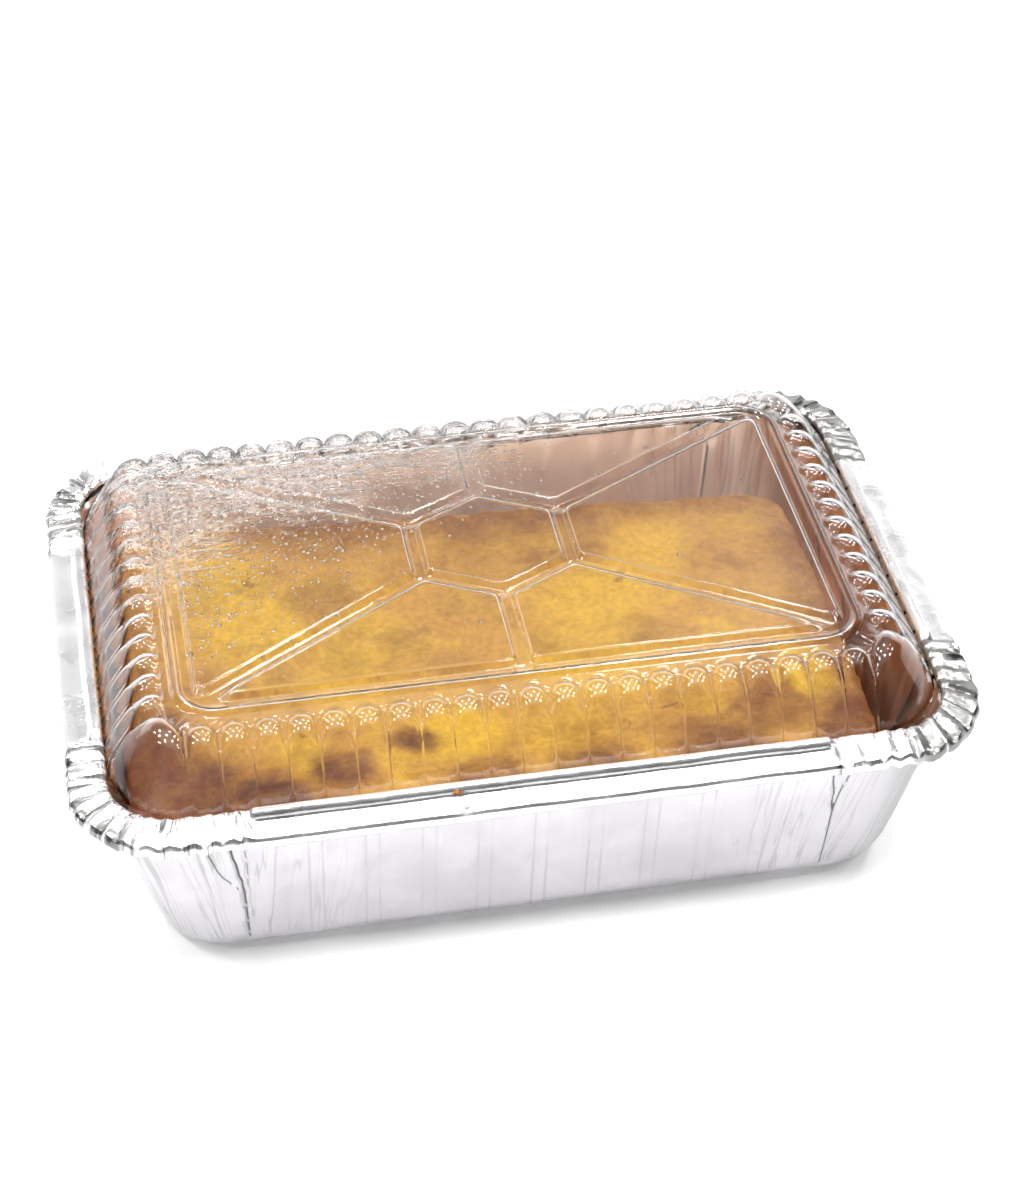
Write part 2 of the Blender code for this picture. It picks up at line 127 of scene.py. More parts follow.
class CakeLook(bpy.types.PropertyGroup):
    """Crust of the cake"""
    voxel: length_prop("Detail", "Size of the crust's faces", 1.15 * MM)
    lump_height: length_prop("Lump height", "Height of the crust's lumps", 1.6 * MM)
    golden: colour_prop("Golden", "Colour of the corn crumb", (0.405, 0.205, 0.031))
    bright: colour_prop("Bright", "Colour of the brightest corn", (0.52, 0.300, 0.019))
    baked: colour_prop("Baked", "Colour of the browned crust", (0.100, 0.023, 0.0045))
    darkest: colour_prop("Darkest", "Colour of the deepest browning", (0.048, 0.014, 0.006))


class WetLook(bpy.types.PropertyGroup):
    """Condensed droplets and fallen crumbs"""
    droplets: bpy.props.IntProperty(name="Droplets", description="Number of droplets under the lid",
                                    default=2600, min=0)
    widest: length_prop("Widest droplet", "Radius of the largest droplets", 0.75 * MM)
    finest: length_prop("Finest droplet", "Radius of the smallest droplets", 0.22 * MM)
    crumb: length_prop("Crumb", "Radius of the largest crumb on the rim", 0.9 * MM)


class StageLook(bpy.types.PropertyGroup):
    """Floor, lamps and camera"""
    floor_size: length_prop("Floor size", "Length of the floor's sides", 9.0)
    lamp_power: bpy.props.FloatProperty(name="Lamp power", description="Power of each ceiling lamp",
                                        default=44.0, min=0.0, unit="POWER")
    lamp_radius: length_prop("Lamp radius", "Radius of each ceiling lamp", 0.14)
    sky: bpy.props.FloatProperty(name="Room light", description="Strength of the room's own light",
                                 default=0.85, min=0.0)
    exposure: bpy.props.FloatProperty(name="Exposure", description="Exposure of the picture in stops",
                                      default=0.0)


# Tools for making pieces

def deselect_all():
    if bpy.context.object and bpy.context.object.mode != "OBJECT":
        bpy.ops.object.mode_set(mode="OBJECT")
    bpy.ops.object.select_all(action="DESELECT")


def select_only(*things):
    deselect_all()
    for thing in things:
        thing.select_set(True)
    bpy.context.view_layer.objects.active = things[0]


def edit_all(piece):
    select_only(piece)
    bpy.ops.object.mode_set(mode="EDIT")
    bpy.ops.mesh.select_all(action="SELECT")


def end_edit():
    bpy.ops.object.mode_set(mode="OBJECT")


def modify(piece, name, kind, **settings):
    """Gives a piece a modifier with these settings and applies it."""
    select_only(piece)
    modifier = piece.modifiers.new(name, kind)
    for key, value in settings.items():
        setattr(modifier, key, value)
    bpy.ops.object.modifier_apply(modifier=modifier.name)


def loft(name, rings, fill_last=False, fill_first=False):
    """A circle placed on the first ring and extruded from ring to ring. Rings are arrays of equal length."""
    deselect_all()
    count = len(rings[0])
    bpy.ops.mesh.primitive_circle_add(vertices=count, radius=1.0, fill_type="NOTHING")
    piece = bpy.context.object
    piece.name = name
    piece.data.name = name
    piece.data.vertices.foreach_set("co", np.asarray(rings[0], float).ravel())
    edit_all(piece)
    if fill_first:
        bpy.ops.mesh.edge_face_add()
    for before, ring in zip(rings, rings[1:]):
        bpy.ops.mesh.select_mode(type="EDGE")
        bpy.ops.mesh.extrude_edges_move()
        edit = bmesh.from_edit_mesh(piece.data)
        edit.verts.ensure_lookup_table()
        fresh = [edit.verts[i] for i in range(len(edit.verts) - count, len(edit.verts))]
        if (fresh[0].co - Vector(before[0])).length > 1e-6 or not fresh[0].select:
            raise RuntimeError(f"{name}: the extruded ring isn't in the order of the one before")
        for vert, point in zip(fresh, ring):
            vert.co = point
        bmesh.update_edit_mesh(piece.data)
    if fill_last:
        bpy.ops.mesh.edge_face_add()
    end_edit()
    return piece


def join(name, pieces):
    """Makes one object of several."""
    select_only(*pieces)
    bpy.ops.object.join()
    joined = bpy.context.object
    joined.name = name
    joined.data.name = name
    return joined


def face_up(piece):
    """Makes the faces agree, then turns them all over if the highest one doesn't look up."""
    edit_all(piece)
    bpy.ops.mesh.normals_make_consistent(inside=False)
    end_edit()
    highest = max(piece.data.polygons, key=lambda face: (round(face.center.z, 5), face.area))
    if highest.normal.z < 0:
        edit_all(piece)
        bpy.ops.mesh.flip_normals()
        end_edit()


def give_wall(piece, thickness, inner_slot=0):
    """Thickens a sheet inwards of its faces. The inner faces take the material so many slots on."""
    modify(piece, "wall", "SOLIDIFY", thickness=thickness, offset=-1.0, material_offset=inner_slot)


def shade(piece, degrees):
    select_only(piece)
    bpy.ops.object.shade_smooth_by_angle(angle=math.radians(degrees))


def dress(piece, material, node):
    """Gives a piece its material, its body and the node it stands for."""
    if material:
        piece.data.materials.clear()
        piece.data.materials.append(material)
    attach(piece, "root")
    if node:
        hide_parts(node)


def smooth(piece):
    select_only(piece)
    bpy.ops.object.shade_smooth()


def displace(piece, name, kind, size, height, **settings):
    """Raises and sinks a surface by one of Blender's own cloud patterns."""
    pattern = bpy.data.textures.new(name, kind)
    pattern.noise_scale = size
    for key, value in settings.items():
        setattr(pattern, key, value)
    modify(piece, name, "DISPLACE", texture=pattern, texture_coords="LOCAL", strength=height, mid_level=0.5)


def smooth_rows(rows, steps):
    """Rows of control values with `steps` smooth steps from each row to the next."""
    rows = np.array(rows, float)
    padded = np.vstack([2 * rows[0] - rows[1], rows, 2 * rows[-1] - rows[-2]])
    out = []
    for k in range(len(rows) - 1):
        a, b, c, d = padded[k:k + 4]
        for step in range(steps):
            t = step / steps
            out.append(0.5 * (2 * b + (c - a) * t + (2 * a - 5 * b + 4 * c - d) * t ** 2
                              + (3 * b - a - 3 * c + d) * t ** 3))
    out.append(rows[-1])
    return np.array(out)


class Zigzag:
    """Crisp folds of uneven width along a line: heights from -1 to 1 with a sharp turn at each fold."""

    def __init__(self, seed, length, narrow, wide):
        draw = random.Random(seed)
        places = [0.0]
        heights = [0.0]
        side = 1.0
        while places[-1] < length:
            places.append(places[-1] + draw.uniform(narrow, wide))
            heights.append(side * draw.uniform(0.25, 1.0))
            side = -side
        self.places = np.array(places)
        self.heights = np.array(heights)

    def __call__(self, along):
        return np.interp(np.mod(along, self.places[-1]), self.places, self.heights)


def ramp(value, start, end):
    """0 up to the start, 1 from the end on, with a smooth rise between them."""
    part = np.clip((value - start) / (end - start), 0.0, 1.0)
    return part * part * (3 - 2 * part)


# Outlines

SIDE_NORMALS = np.array([(0, -1), (1, 0), (0, 1), (-1, 0)], float)
CORNER_SIGNS = np.array([(1, -1), (1, 1), (-1, 1), (-1, -1)], float)


class Outline:
    """Stations round a rounded rectangle: places along the four sides and turns round the four corners.

    Places keep their own distance from the middle up to `kept`, and stretch with the side beyond it.
    """

    def __init__(self, front, side, kept, turns):
        sides = []
        values = []
        corner = []
        for k in range(4):
            places = front if k % 2 == 0 else side
            places = places if k < 2 else -places
            sides += [k] * (len(places) + len(turns))
            values += list(places) + [QUARTER * (k - 1) + QUARTER * turn for turn in turns]
            corner += [False] * len(places) + [True] * len(turns)
        self.sides = np.array(sides)
        self.values = np.array(values)
        self.corner = np.array(corner)
        self.kept = kept
        self.ends = (front.max(), side.max())
        self.count = len(sides)

    def ring(self, half_x, half_y, radius_x, radius_y=None):
        """Points and outward normals of the outline with these half sizes and corner radii."""
        radius_y = radius_x if radius_y is None else radius_y
        straight = (half_x - radius_x, half_y - radius_y)
        points = np.zeros((self.count, 3))
        normals = np.zeros((self.count, 3))
        for k in range(4):
            axis = k % 2
            on_side = (self.sides == k) & ~self.corner
            value = self.values[on_side]
            far = np.abs(value)
            reach = self.ends[axis] - self.kept[axis]
            beyond = np.clip(far - self.kept[axis], 0, None) / reach
            place = np.sign(value) * (np.minimum(far, self.kept[axis])
                                      + beyond * (straight[axis] - self.kept[axis]))
            normal = SIDE_NORMALS[k]
            points[on_side, axis] = place
            points[on_side, 1 - axis] = normal[1 - axis] * (half_x if axis else half_y)
            normals[on_side, :2] = normal
            turning = (self.sides == k) & self.corner
            angle = self.values[turning]
            sign = CORNER_SIGNS[k]
            points[turning, 0] = sign[0] * straight[0] + radius_x * np.cos(angle)
            points[turning, 1] = sign[1] * straight[1] + radius_y * np.sin(angle)
            normals[turning, 0] = np.cos(angle)
            normals[turning, 1] = np.sin(angle)
        return points, normals


def spaced(low, high, step):
    """Even places from low to high, about a step apart."""
    count = max(1, round((high - low) / step))
    return np.linspace(low, high, count + 1)


def closest_on_outline(points, half_x, half_y, radius):
    """The nearest points to these on a rounded rectangle, and its outward normals there."""
    centre = np.clip(points[:, :2], (radius - half_x, radius - half_y), (half_x - radius, half_y - radius))
    arm = points[:, :2] - centre
    normal = arm / np.maximum(np.linalg.norm(arm, axis=1), 1e-9)[:, None]
    found = points.copy()
    found[:, :2] = centre + normal * radius
    normals = np.zeros_like(points)
    normals[:, :2] = normal
    return found, normals


# Foil tray

TRAY_STEP = 1.25 * MM
GATHER_STEP = 0.5 * MM
FLUTED_HALF_X = 58.0 * MM
FLUTED_HALF_Y = 28.0 * MM
FLUTE_PITCH = 13.2 * MM
FLUTE_STRIP = 3.2 * MM
FLUTE_EDGE = 0.6 * MM
FLUTE_DEPTH = 0.45 * MM
CORNER_STATIONS = 72
BASE_INSETS = (34 * MM, 20 * MM, 11 * MM)
BASE_TURNS = (0.0, 0.25, 0.5, 0.75)
WALL_RINGS = 20
# Sizes and depths of the wall's dents
WALL_DENT = 21 * MM
WALL_DENT_DEPTH = 0.55 * MM
SMALL_DENT = 7 * MM
SMALL_DENT_DEPTH = 0.22 * MM
# Depths of the folds that run down the wall's corners, and how far they lean over the whole wall
WIDE_FOLD_DEPTH = 0.75 * MM
FINE_FOLD_DEPTH = 0.45 * MM
FOLD_LEAN = 6 * MM
CREASE_WIDTH = 0.5 * MM
CREASE_SWELL = 3.5 * MM
CREASE_PULL = 4 * MM
# The rim's middle line lies this far inside its outer edge
RIM_MIDDLE = 4 * MM
# Sizes and depths of the rim's unevenness, sideways and up, and how far its folds swing to and fro
RIM_WAVE = 16 * MM
RIM_WAVE_DEPTH = 0.35 * MM
RIM_DENT = 9 * MM
RIM_DENT_DEPTH = 0.18 * MM
FOLD_SWING = 17 * MM
# One dent pressed into the front rim
DENT_X = -19.2 * MM
DENT_WIDTH = 1.3 * MM
DENT_DEPTH = 1.1 * MM
RIM_SEED = 11
FOLD_STRETCH = 0.13
FOLD_PLACE = "fold_place"
FOLD_SHARE = "fold_share"
# The wall's crease marks, which the foil's material darkens as painted shade
CREASE_SHADE = "crease_shade"


def tray_outline(tray):
    """Stations close together round the corners, where the foil is gathered."""
    end_x = tray.base_half_x - tray.base_radius
    end_y = tray.base_half_y - tray.base_radius

    def along(kept, end):
        middle = spaced(-kept, kept, TRAY_STEP)
        near = spaced(kept, end, GATHER_STEP)[1:]
        return np.concatenate([-near[::-1], middle, near])

    turns = np.linspace(0, 1, CORNER_STATIONS + 2)[1:-1]
    return Outline(along(FLUTED_HALF_X, end_x), along(FLUTED_HALF_Y, end_y),
                   (FLUTED_HALF_X, FLUTED_HALF_Y), turns)


def rim_half(tray):
    """Half sizes of the rim without its gathers."""
    return TRAY_HIGH.x - GATHER_REACH, TRAY_HIGH.y - GATHER_REACH


def tray_wall_half(tray, height):
    """Half sizes of the wall's outside at a height."""
    rim_x, rim_y = rim_half(tray)
    part = height / tray.shelf_height
    top_x = rim_x - tray.band_width + tray.foil
    top_y = rim_y - tray.band_width + tray.foil
    return (tray.base_half_x + (top_x - tray.base_half_x) * part,
            tray.base_half_y + (top_y - tray.base_half_y) * part)


def rim_middle(tray, outline):
    """Points along the middle of the rim."""
    rim_x, rim_y = rim_half(tray)
    points, _ = outline.ring(rim_x - RIM_MIDDLE, rim_y - RIM_MIDDLE, tray.rim_radius - RIM_MIDDLE)
    return points


def bead_share(tray, points):
    """1 along the straight beads, falling to 0 near each corner's gathers."""
    rim_x, rim_y = rim_half(tray)
    along_front = np.abs(points[:, 0]) < np.abs(points[:, 1]) * rim_x / rim_y
    clear = np.where(along_front,
                     rim_x - tray.bead_clearance - np.abs(points[:, 0]),
                     rim_y - tray.bead_clearance - np.abs(points[:, 1]))
    return ramp(clear, -0.6 * MM, 0.9 * MM)


def perimeter(points):
    """How far along a closed ring each of its points lies."""
    steps = np.linalg.norm(np.roll(points, -1, axis=0) - points, axis=1)
    return np.concatenate([[0], np.cumsum(steps)[:-1]])


def crumple(points, size, seed):
    """Heights between about -1 and 1 of dents of the given size."""
    offset = Vector((seed * 3.1, seed * 1.7, seed * 2.3))
    return np.array([noise.noise(Vector(point) / size + offset) for point in points])


# Sharp creases pinched into the wall: the side, the places along it and their heights from the top
# down, and the depth as a share of the usual one. Lengths in millimetres
WALL_CREASES = (
    (0, (-72.5, -69.6, -69.0), (43.0, 24.0, 3.5), 1.5),
    (0, (-77.5, -75.0, -69.6), (40.0, 31.0, 24.0), 1.0),
    (0, (-69.0, -68.5, -68.8), (40.0, 32.0, 25.0), 0.6),
    (0, (69.0, 70.6, 69.8), (42.0, 27.0, 4.0), 1.3),
    (0, (74.0, 72.0, 70.6), (42.0, 34.0, 27.0), 1.0),
    (1, (-40.5, -38.0, -38.5), (44.0, 26.0, 5.0), 1.2),
    (1, (39.5, 37.0, 38.0), (44.0, 26.0, 8.0), 1.2),
    (2, (71.0, 68.6, 69.2), (43.0, 25.0, 5.0), 1.3),
    (2, (-70.0, -69.0, -69.6), (43.0, 28.0, 6.0), 1.2),
    (3, (-38.5, -36.0, -37.0), (43.0, 27.0, 6.0), 1.2),
    (3, (40.0, 38.0, 37.0), (44.0, 25.0, 5.0), 1.2),
)


def wall_shape(tray, outline, height, bearing):
    """A ring of the wall, with flutes along its sides, folds towards the corners, creases and dents."""
    half_x, half_y = tray_wall_half(tray, height)
    points, normals = outline.ring(half_x, half_y, tray.base_radius)
    points[:, 2] = height
    up = height / tray.shelf_height
    inward = np.zeros(len(points))

    # Flutes: wide flat panels and narrow sunk strips
    for axis, kept in ((0, FLUTED_HALF_X), (1, FLUTED_HALF_Y)):
        on_side = ~outline.corner & (outline.sides % 2 == axis)
        place = points[on_side, axis]
        strip = np.abs(np.mod(place + FLUTE_PITCH / 2, FLUTE_PITCH) - FLUTE_PITCH / 2)
        sunk = 1 - ramp(strip, FLUTE_STRIP / 2 - FLUTE_EDGE, FLUTE_STRIP / 2 + FLUTE_EDGE)
        fade = ramp(kept - np.abs(place), -2 * MM, 4 * MM)
        fade = fade * ramp(height, tray.base_edge, tray.base_edge + 4 * MM)
        fade = fade * ramp(tray.shelf_height - height, 1 * MM, 4 * MM)
        inward[on_side] += FLUTE_DEPTH * sunk * fade

    # Folds that run down from the gathered corners
    corner_share = ramp(np.abs(points[:, 0]) / half_x + np.abs(points[:, 1]) / half_y, 1.35, 1.72)
    wide_folds = Zigzag(RIM_SEED + 1, bearing[-1], 3.5 * MM, 8.0 * MM)
    fine_folds = Zigzag(RIM_SEED + 2, bearing[-1], 1.6 * MM, 4.0 * MM)
    lean = (1 - up) * FOLD_LEAN
    inward += corner_share * (WIDE_FOLD_DEPTH * wide_folds(bearing + lean) * (0.25 + 0.75 * up)
                              + FINE_FOLD_DEPTH * fine_folds(bearing) * up ** 2)

    # Soft dents all over
    even = 0.5 + 0.5 * corner_share
    inward += WALL_DENT_DEPTH * even * crumple(points, WALL_DENT, 1)
    inward += SMALL_DENT_DEPTH * even * crumple(points, SMALL_DENT, 2)

    line = np.zeros(len(points))
    for side, places, heights, depth in WALL_CREASES:
        low, high = heights[-1] * MM, heights[0] * MM
        if not low <= height <= high:
            continue
        axis = side % 2
        path = np.interp(height, [h * MM for h in reversed(heights)], [p * MM for p in reversed(places)])
        on_side = (outline.sides == side) & ~outline.corner
        numbers = np.nonzero(on_side)[0]
        away = points[numbers, axis] - path
        nearest = numbers[np.argmin(np.abs(away))]
        shift = path - points[nearest, axis]
        points[numbers, axis] += shift * np.clip(1 - np.abs(away) / CREASE_PULL, 0, 1)
        ends = min(ramp(height, low, low + 5 * MM), ramp(high - height, 0.0, 2 * MM) + 0.3)
        away = points[numbers, axis] - points[nearest, axis]
        inward[numbers] += depth * MM * 0.45 * ends * np.exp(-(away / CREASE_WIDTH) ** 2)
        inward[numbers] += depth * MM * 0.30 * ends * np.exp(-(away / CREASE_SWELL) ** 2) * np.sign(away)
        # Marks the crease's middle, where the foil's material paints shade along it
        line[nearest] = min(1.0, 0.55 + 0.35 * depth)
    points -= normals * inward[:, None]
    return points, fold_marks(bearing + lean, height * 0.45, 0.30 * corner_share, line)


def fold_marks(bearing, across, share, line=None):
    """Where each point lies along the rim, bent into a circle, how gathered it is and how strongly the
    wall's painted crease shade marks it.
    """
    length = bearing.max() + GATHER_STEP
    turn = math.tau * bearing / length
    radius = length / math.tau
    across = np.broadcast_to(np.asarray(across, float) * FOLD_STRETCH, turn.shape)
    line = np.zeros(len(turn)) if line is None else line
    share = share * np.ones(len(turn))
    return np.stack([radius * np.cos(turn), radius * np.sin(turn), across, share, line], axis=1)


def rim_shapes(tray, outline, bearing):
    """Rings and fold marks of the rim: out along the shelf, up, and folded back, gathered at the corners."""
    rim_x, rim_y = rim_half(tray)
    top_x, _ = tray_wall_half(tray, tray.shelf_height)
    shelf_in = (rim_x - top_x) / MM
    shelf = tray.shelf_height / MM
    # Millimetres inwards and up on a plain stretch, the same along a bead, and how free the folds are
    rows = (
        (shelf_in, shelf, shelf_in, shelf, 0.15),
        (2.4, shelf, 2.4, shelf, 0.3),
        (0.5, shelf + 0.2, 0.5, shelf + 0.2, 0.9),
        (0.0, 50.2, 0.0, 50.2, 1.0),
        (0.8, 51.7, 0.7, 51.5, 1.0),
        (3.0, 52.4, 3.0, 51.9, 1.0),
        (5.4, 52.8, 5.5, 52.25, 1.0),
        (6.4, 53.0, 5.95, 53.2, 0.9),
        (7.3, 53.2, 6.7, 54.1, 0.8),
        (8.2, 53.2, 8.1, 54.1, 0.6),
        (8.9, 52.8, 8.8, 53.4, 0.4),
        (9.2, 51.9, 9.0, 52.3, 0.2),
    )
    folds_up = Zigzag(RIM_SEED, bearing[-1], 1.1 * MM, 3.2 * MM)
    folds_out = Zigzag(RIM_SEED + 5, bearing[-1], 1.3 * MM, 3.6 * MM)
    folds_across = Zigzag(RIM_SEED + 7, bearing[-1], 1.5 * MM, 4.2 * MM)
    bead = bead_share(tray, rim_middle(tray, outline))
    rings = []
    marks = []
    for plain_in, plain_up, bead_in, bead_up, free in smooth_rows(rows, 2):
        inward = (plain_in + (bead_in - plain_in) * bead) * MM
        height = (plain_up + (bead_up - plain_up) * bead) * MM
        gathered = (1 - bead) * free
        slant = 0.22 * np.sin(bearing / FOLD_SWING) * inward
        inward = inward + tray.gather_spread * gathered * folds_out(bearing + slant)
        lift = tray.gather_height * gathered * folds_up(bearing + slant)
        lift *= np.where(inward > 0.4 * MM, 1.0, 0.5)
        mean_in = plain_in * MM
        points, normals = outline.ring(rim_x - mean_in, rim_y - mean_in, tray.rim_radius - mean_in)
        points += normals * (mean_in - inward)[:, None]
        tangent = np.stack([-normals[:, 1], normals[:, 0], np.zeros(len(points))], axis=1)
        points += tangent * (0.5 * MM * gathered * folds_across(bearing + 2 * slant))[:, None]
        points[:, 2] = height + lift
        points += normals * (RIM_WAVE_DEPTH * free * crumple(points, RIM_WAVE, 4))[:, None]
        points[:, 2] += RIM_DENT_DEPTH * free * crumple(points, RIM_DENT, 5)
        dent = np.exp(-((points[:, 0] - DENT_X) / DENT_WIDTH) ** 2) * (points[:, 1] < 0)
        outer = np.clip(1 - np.abs(inward - 3 * MM) / (3.2 * MM), 0, 1)
        points[:, 2] -= DENT_DEPTH * dent * outer
        rings.append(points)
        marks.append(fold_marks(bearing + slant, inward, 1 - bead))
    return rings, marks


def build_tray_mesh(tray):
    outline = tray_outline(tray)
    bearing = perimeter(rim_middle(tray, outline))
    rings = []
    marks = []
    for inward in BASE_INSETS:
        half_x, half_y = tray_wall_half(tray, 0.0)
        radius = max(tray.base_radius - inward, 2 * MM)
        points, _ = outline.ring(half_x - inward, half_y - inward, radius)
        rings.append(points)
        marks.append(fold_marks(bearing, 0.0, 0.0))
    for turn in BASE_TURNS:
        angle = turn * QUARTER
        height = tray.base_edge * (1 - math.cos(angle))
        inward = tray.base_edge * (1 - math.sin(angle))
        half_x, half_y = tray_wall_half(tray, height)
        points, normals = outline.ring(half_x - inward, half_y - inward, tray.base_radius - inward)
        points -= normals * (0.5 * MM * turn * crumple(points, WALL_DENT, 1))[:, None]
        points[:, 2] = height
        rings.append(points)
        marks.append(fold_marks(bearing, 0.0, 0.0))
    for height in np.linspace(tray.base_edge, tray.shelf_height - 0.6 * MM, WALL_RINGS):
        wall, wall_marks = wall_shape(tray, outline, height, bearing)
        rings.append(wall)
        marks.append(wall_marks)
    rim, rim_marks = rim_shapes(tray, outline, bearing)
    rings += rim
    marks += rim_marks
    piece = loft("foil_tray", rings, fill_first=True)
    marks = np.concatenate(marks)
    layer = piece.data.attributes.new(FOLD_PLACE, "FLOAT_VECTOR", "POINT")
    layer.data.foreach_set("vector", marks[:, :3].ravel())
    for name, column in ((FOLD_SHARE, 3), (CREASE_SHADE, 4)):
        layer = piece.data.attributes.new(name, "FLOAT", "POINT")
        layer.data.foreach_set("value", np.ascontiguousarray(marks[:, column]))
    face_up(piece)
    piece.data.materials.append(foil_material(tray, inside=False))
    piece.data.materials.append(foil_material(tray, inside=True))
    give_wall(piece, tray.foil, inner_slot=1)
    shade(piece, 22)
    return piece


# Clear lid

LONG_RIBS = 21
SHORT_RIBS = 12
RIB_CORNER_TURNS = 26
RIB_PARTS = (0.0, 0.05, 0.13, 0.24, 0.37, 0.5, 0.63, 0.76, 0.87, 0.95)
FLANGE_HEIGHT = 50.2 * MM
FLANGE_HALF_X = 104.9 * MM
FLANGE_HALF_Y = 75.1 * MM
# A crest's millimetres out of the border and up, the same in a valley, the rib's share of its pitch and
# how square its section is, foot first: broad shallow ribs below, a ball-shaped cap on each
RIB_ROWS = (
    (17.4, 50.2, 17.0, 50.2, 1.0, 4.0),
    (17.1, 51.5, 16.2, 51.3, 1.0, 4.0),
    (15.5, 54.5, 15.2, 54.3, 1.0, 6.0),
    (13.6, 57.4, 13.3, 57.2, 1.0, 6.0),
    (11.9, 60.0, 11.5, 59.8, 1.0, 5.0),
    (10.8, 61.7, 10.0, 61.2, 1.0, 4.0),
    (9.9, 63.1, 8.3, 62.2, 1.0, 2.8),
    (8.8, 64.7, 6.4, 63.1, 1.0, 2.1),
    (7.3, 65.9, 4.8, 63.7, 0.98, 2.0),
    (5.8, 66.4, 3.9, 64.2, 0.90, 2.0),
    (4.4, 66.4, 3.2, 64.7, 0.76, 2.0),
    (3.3, 66.1, 2.7, 65.1, 0.54, 2.0),
    (2.5, 65.6, 2.2, 65.4, 0.24, 2.0),
)


def rib_weight(outline, width, square):
    """0 in the valleys between the ribs, 1 on their crests, with a rounded cap of the given width."""
    away = np.abs(2 * outline.parts - 1) / max(width, 1e-6)
    return (1 - np.minimum(away, 1.0) ** square) ** 0.5


def lid_outline(lid):
    """Stations over the ribs of each side, and one wide rib round each corner."""
    long_half = LONG_RIBS * lid.rib_pitch / 2
    short_half = SHORT_RIBS * lid.rib_pitch / 2

    def along(count):
        start = -count / 2
        return np.array([(start + k + part) * lid.rib_pitch for k in range(count) for part in RIB_PARTS])

    front = along(LONG_RIBS)
    side = along(SHORT_RIBS)
    turns = np.linspace(0, 1, RIB_CORNER_TURNS + 1)[:-1]
    outline = Outline(front, side, (long_half, short_half), turns)
    # No place lies beyond the kept ones, so the reach past them only has to be more than 0
    outline.ends = (long_half + 1, short_half + 1)
    parts = []
    for ribs in (LONG_RIBS, SHORT_RIBS) * 2:
        parts += list(RIB_PARTS) * ribs
        parts += list(turns)
    outline.parts = np.array(parts)
    outline.straight = (long_half, short_half)
    return outline


def rounded_polygon(corners, inset, radius, steps):
    """A convex anticlockwise polygon moved inwards, with each corner turned into an arc."""
    count = len(corners)
    moved = []
    for k in range(count):
        before = (corners[k] - corners[k - 1]).normalized()
        after = (corners[(k + 1) % count] - corners[k]).normalized()
        normal_before = Vector((-before.y, before.x))
        normal_after = Vector((-after.y, after.x))
        mean = (normal_before + normal_after).normalized()
        moved.append(corners[k] + mean * (inset / mean.dot(normal_after)))
    points = []
    for k in range(count):
        back = (moved[k - 1] - moved[k]).normalized()
        onward = (moved[(k + 1) % count] - moved[k]).normalized()
        opening = back.angle(onward)
        reach = min(radius / math.tan(opening / 2), 6 * MM)
        start = moved[k] + back * reach
        end = moved[k] + onward * reach
        for step in range(steps + 1):
            t = step / steps
            points.append(start * (1 - t) ** 2 + moved[k] * (2 * t * (1 - t)) + end * t ** 2)
    return points


HEXAGON_SHIFT_Y = 2.6 * MM
HEXAGON_SHOULDER = 10.8 * MM
PANEL_MARGIN = 5.2 * MM
PANEL_TOP = LID_HIGH.z
FLOOR_HEIGHT = PANEL_TOP - 1.8 * MM
BORDER_TOP = PANEL_TOP - 0.6 * MM
SHOULDER_HEIGHT = 65.5 * MM


def channel_cells(lid):
    """The middle hexagon and the six cells round it, bounded by the grooves' centre lines."""
    edge_x = lid.border_half_x - PANEL_MARGIN + lid.channel_width / 2
    edge_y = lid.border_half_y - PANEL_MARGIN + lid.channel_width / 2
    low = HEXAGON_SHIFT_Y - HEXAGON_SHOULDER
    high = HEXAGON_SHIFT_Y + HEXAGON_SHOULDER
    right_low = Vector((lid.hexagon_side, low))
    right_high = Vector((lid.hexagon_side, high))
    left_high = Vector((-lid.hexagon_side, high))
    left_low = Vector((-lid.hexagon_side, low))
    back_tip = Vector((0.0, HEXAGON_SHIFT_Y + lid.hexagon_apex))
    front_tip = Vector((0.0, HEXAGON_SHIFT_Y - lid.hexagon_apex))
    corner = {(sx, sy): Vector((sx * edge_x, sy * edge_y)) for sx in (-1, 1) for sy in (-1, 1)}
    front_middle = Vector((0.0, -edge_y))
    back_middle = Vector((0.0, edge_y))
    return [
        [right_low, right_high, back_tip, left_high, left_low, front_tip],
        [corner[1, -1], corner[1, 1], right_high, right_low],
        [corner[-1, 1], corner[-1, -1], left_low, left_high],
        [corner[-1, -1], front_middle, front_tip, left_low],
        [front_middle, corner[1, -1], right_low, front_tip],
        [corner[1, 1], back_middle, back_tip, right_high],
        [back_middle, corner[-1, 1], left_high, back_tip],
    ]


def panel_rings(lid, cell):
    """A raised panel from its foot in the groove up over a rounded edge."""
    half = lid.channel_width / 2
    # Distance inside the grooves' centre lines, height above the floor
    rise = PANEL_TOP - FLOOR_HEIGHT
    rows = ((half - lid.channel_slope - 0.25 * MM, 0.0),
            (half - lid.channel_slope, 0.10 * rise),
            (half - lid.channel_slope * 0.3, 0.78 * rise),
            (half, 0.95 * rise),
            (half + 0.4 * MM, rise),
            (half + 1.2 * MM, rise))
    rings = []
    for inset, height in rows:
        outline = rounded_polygon(cell, inset, 2.4 * MM, 6)
        rings.append(np.array([(p.x, p.y, FLOOR_HEIGHT + height) for p in outline]))
    return rings


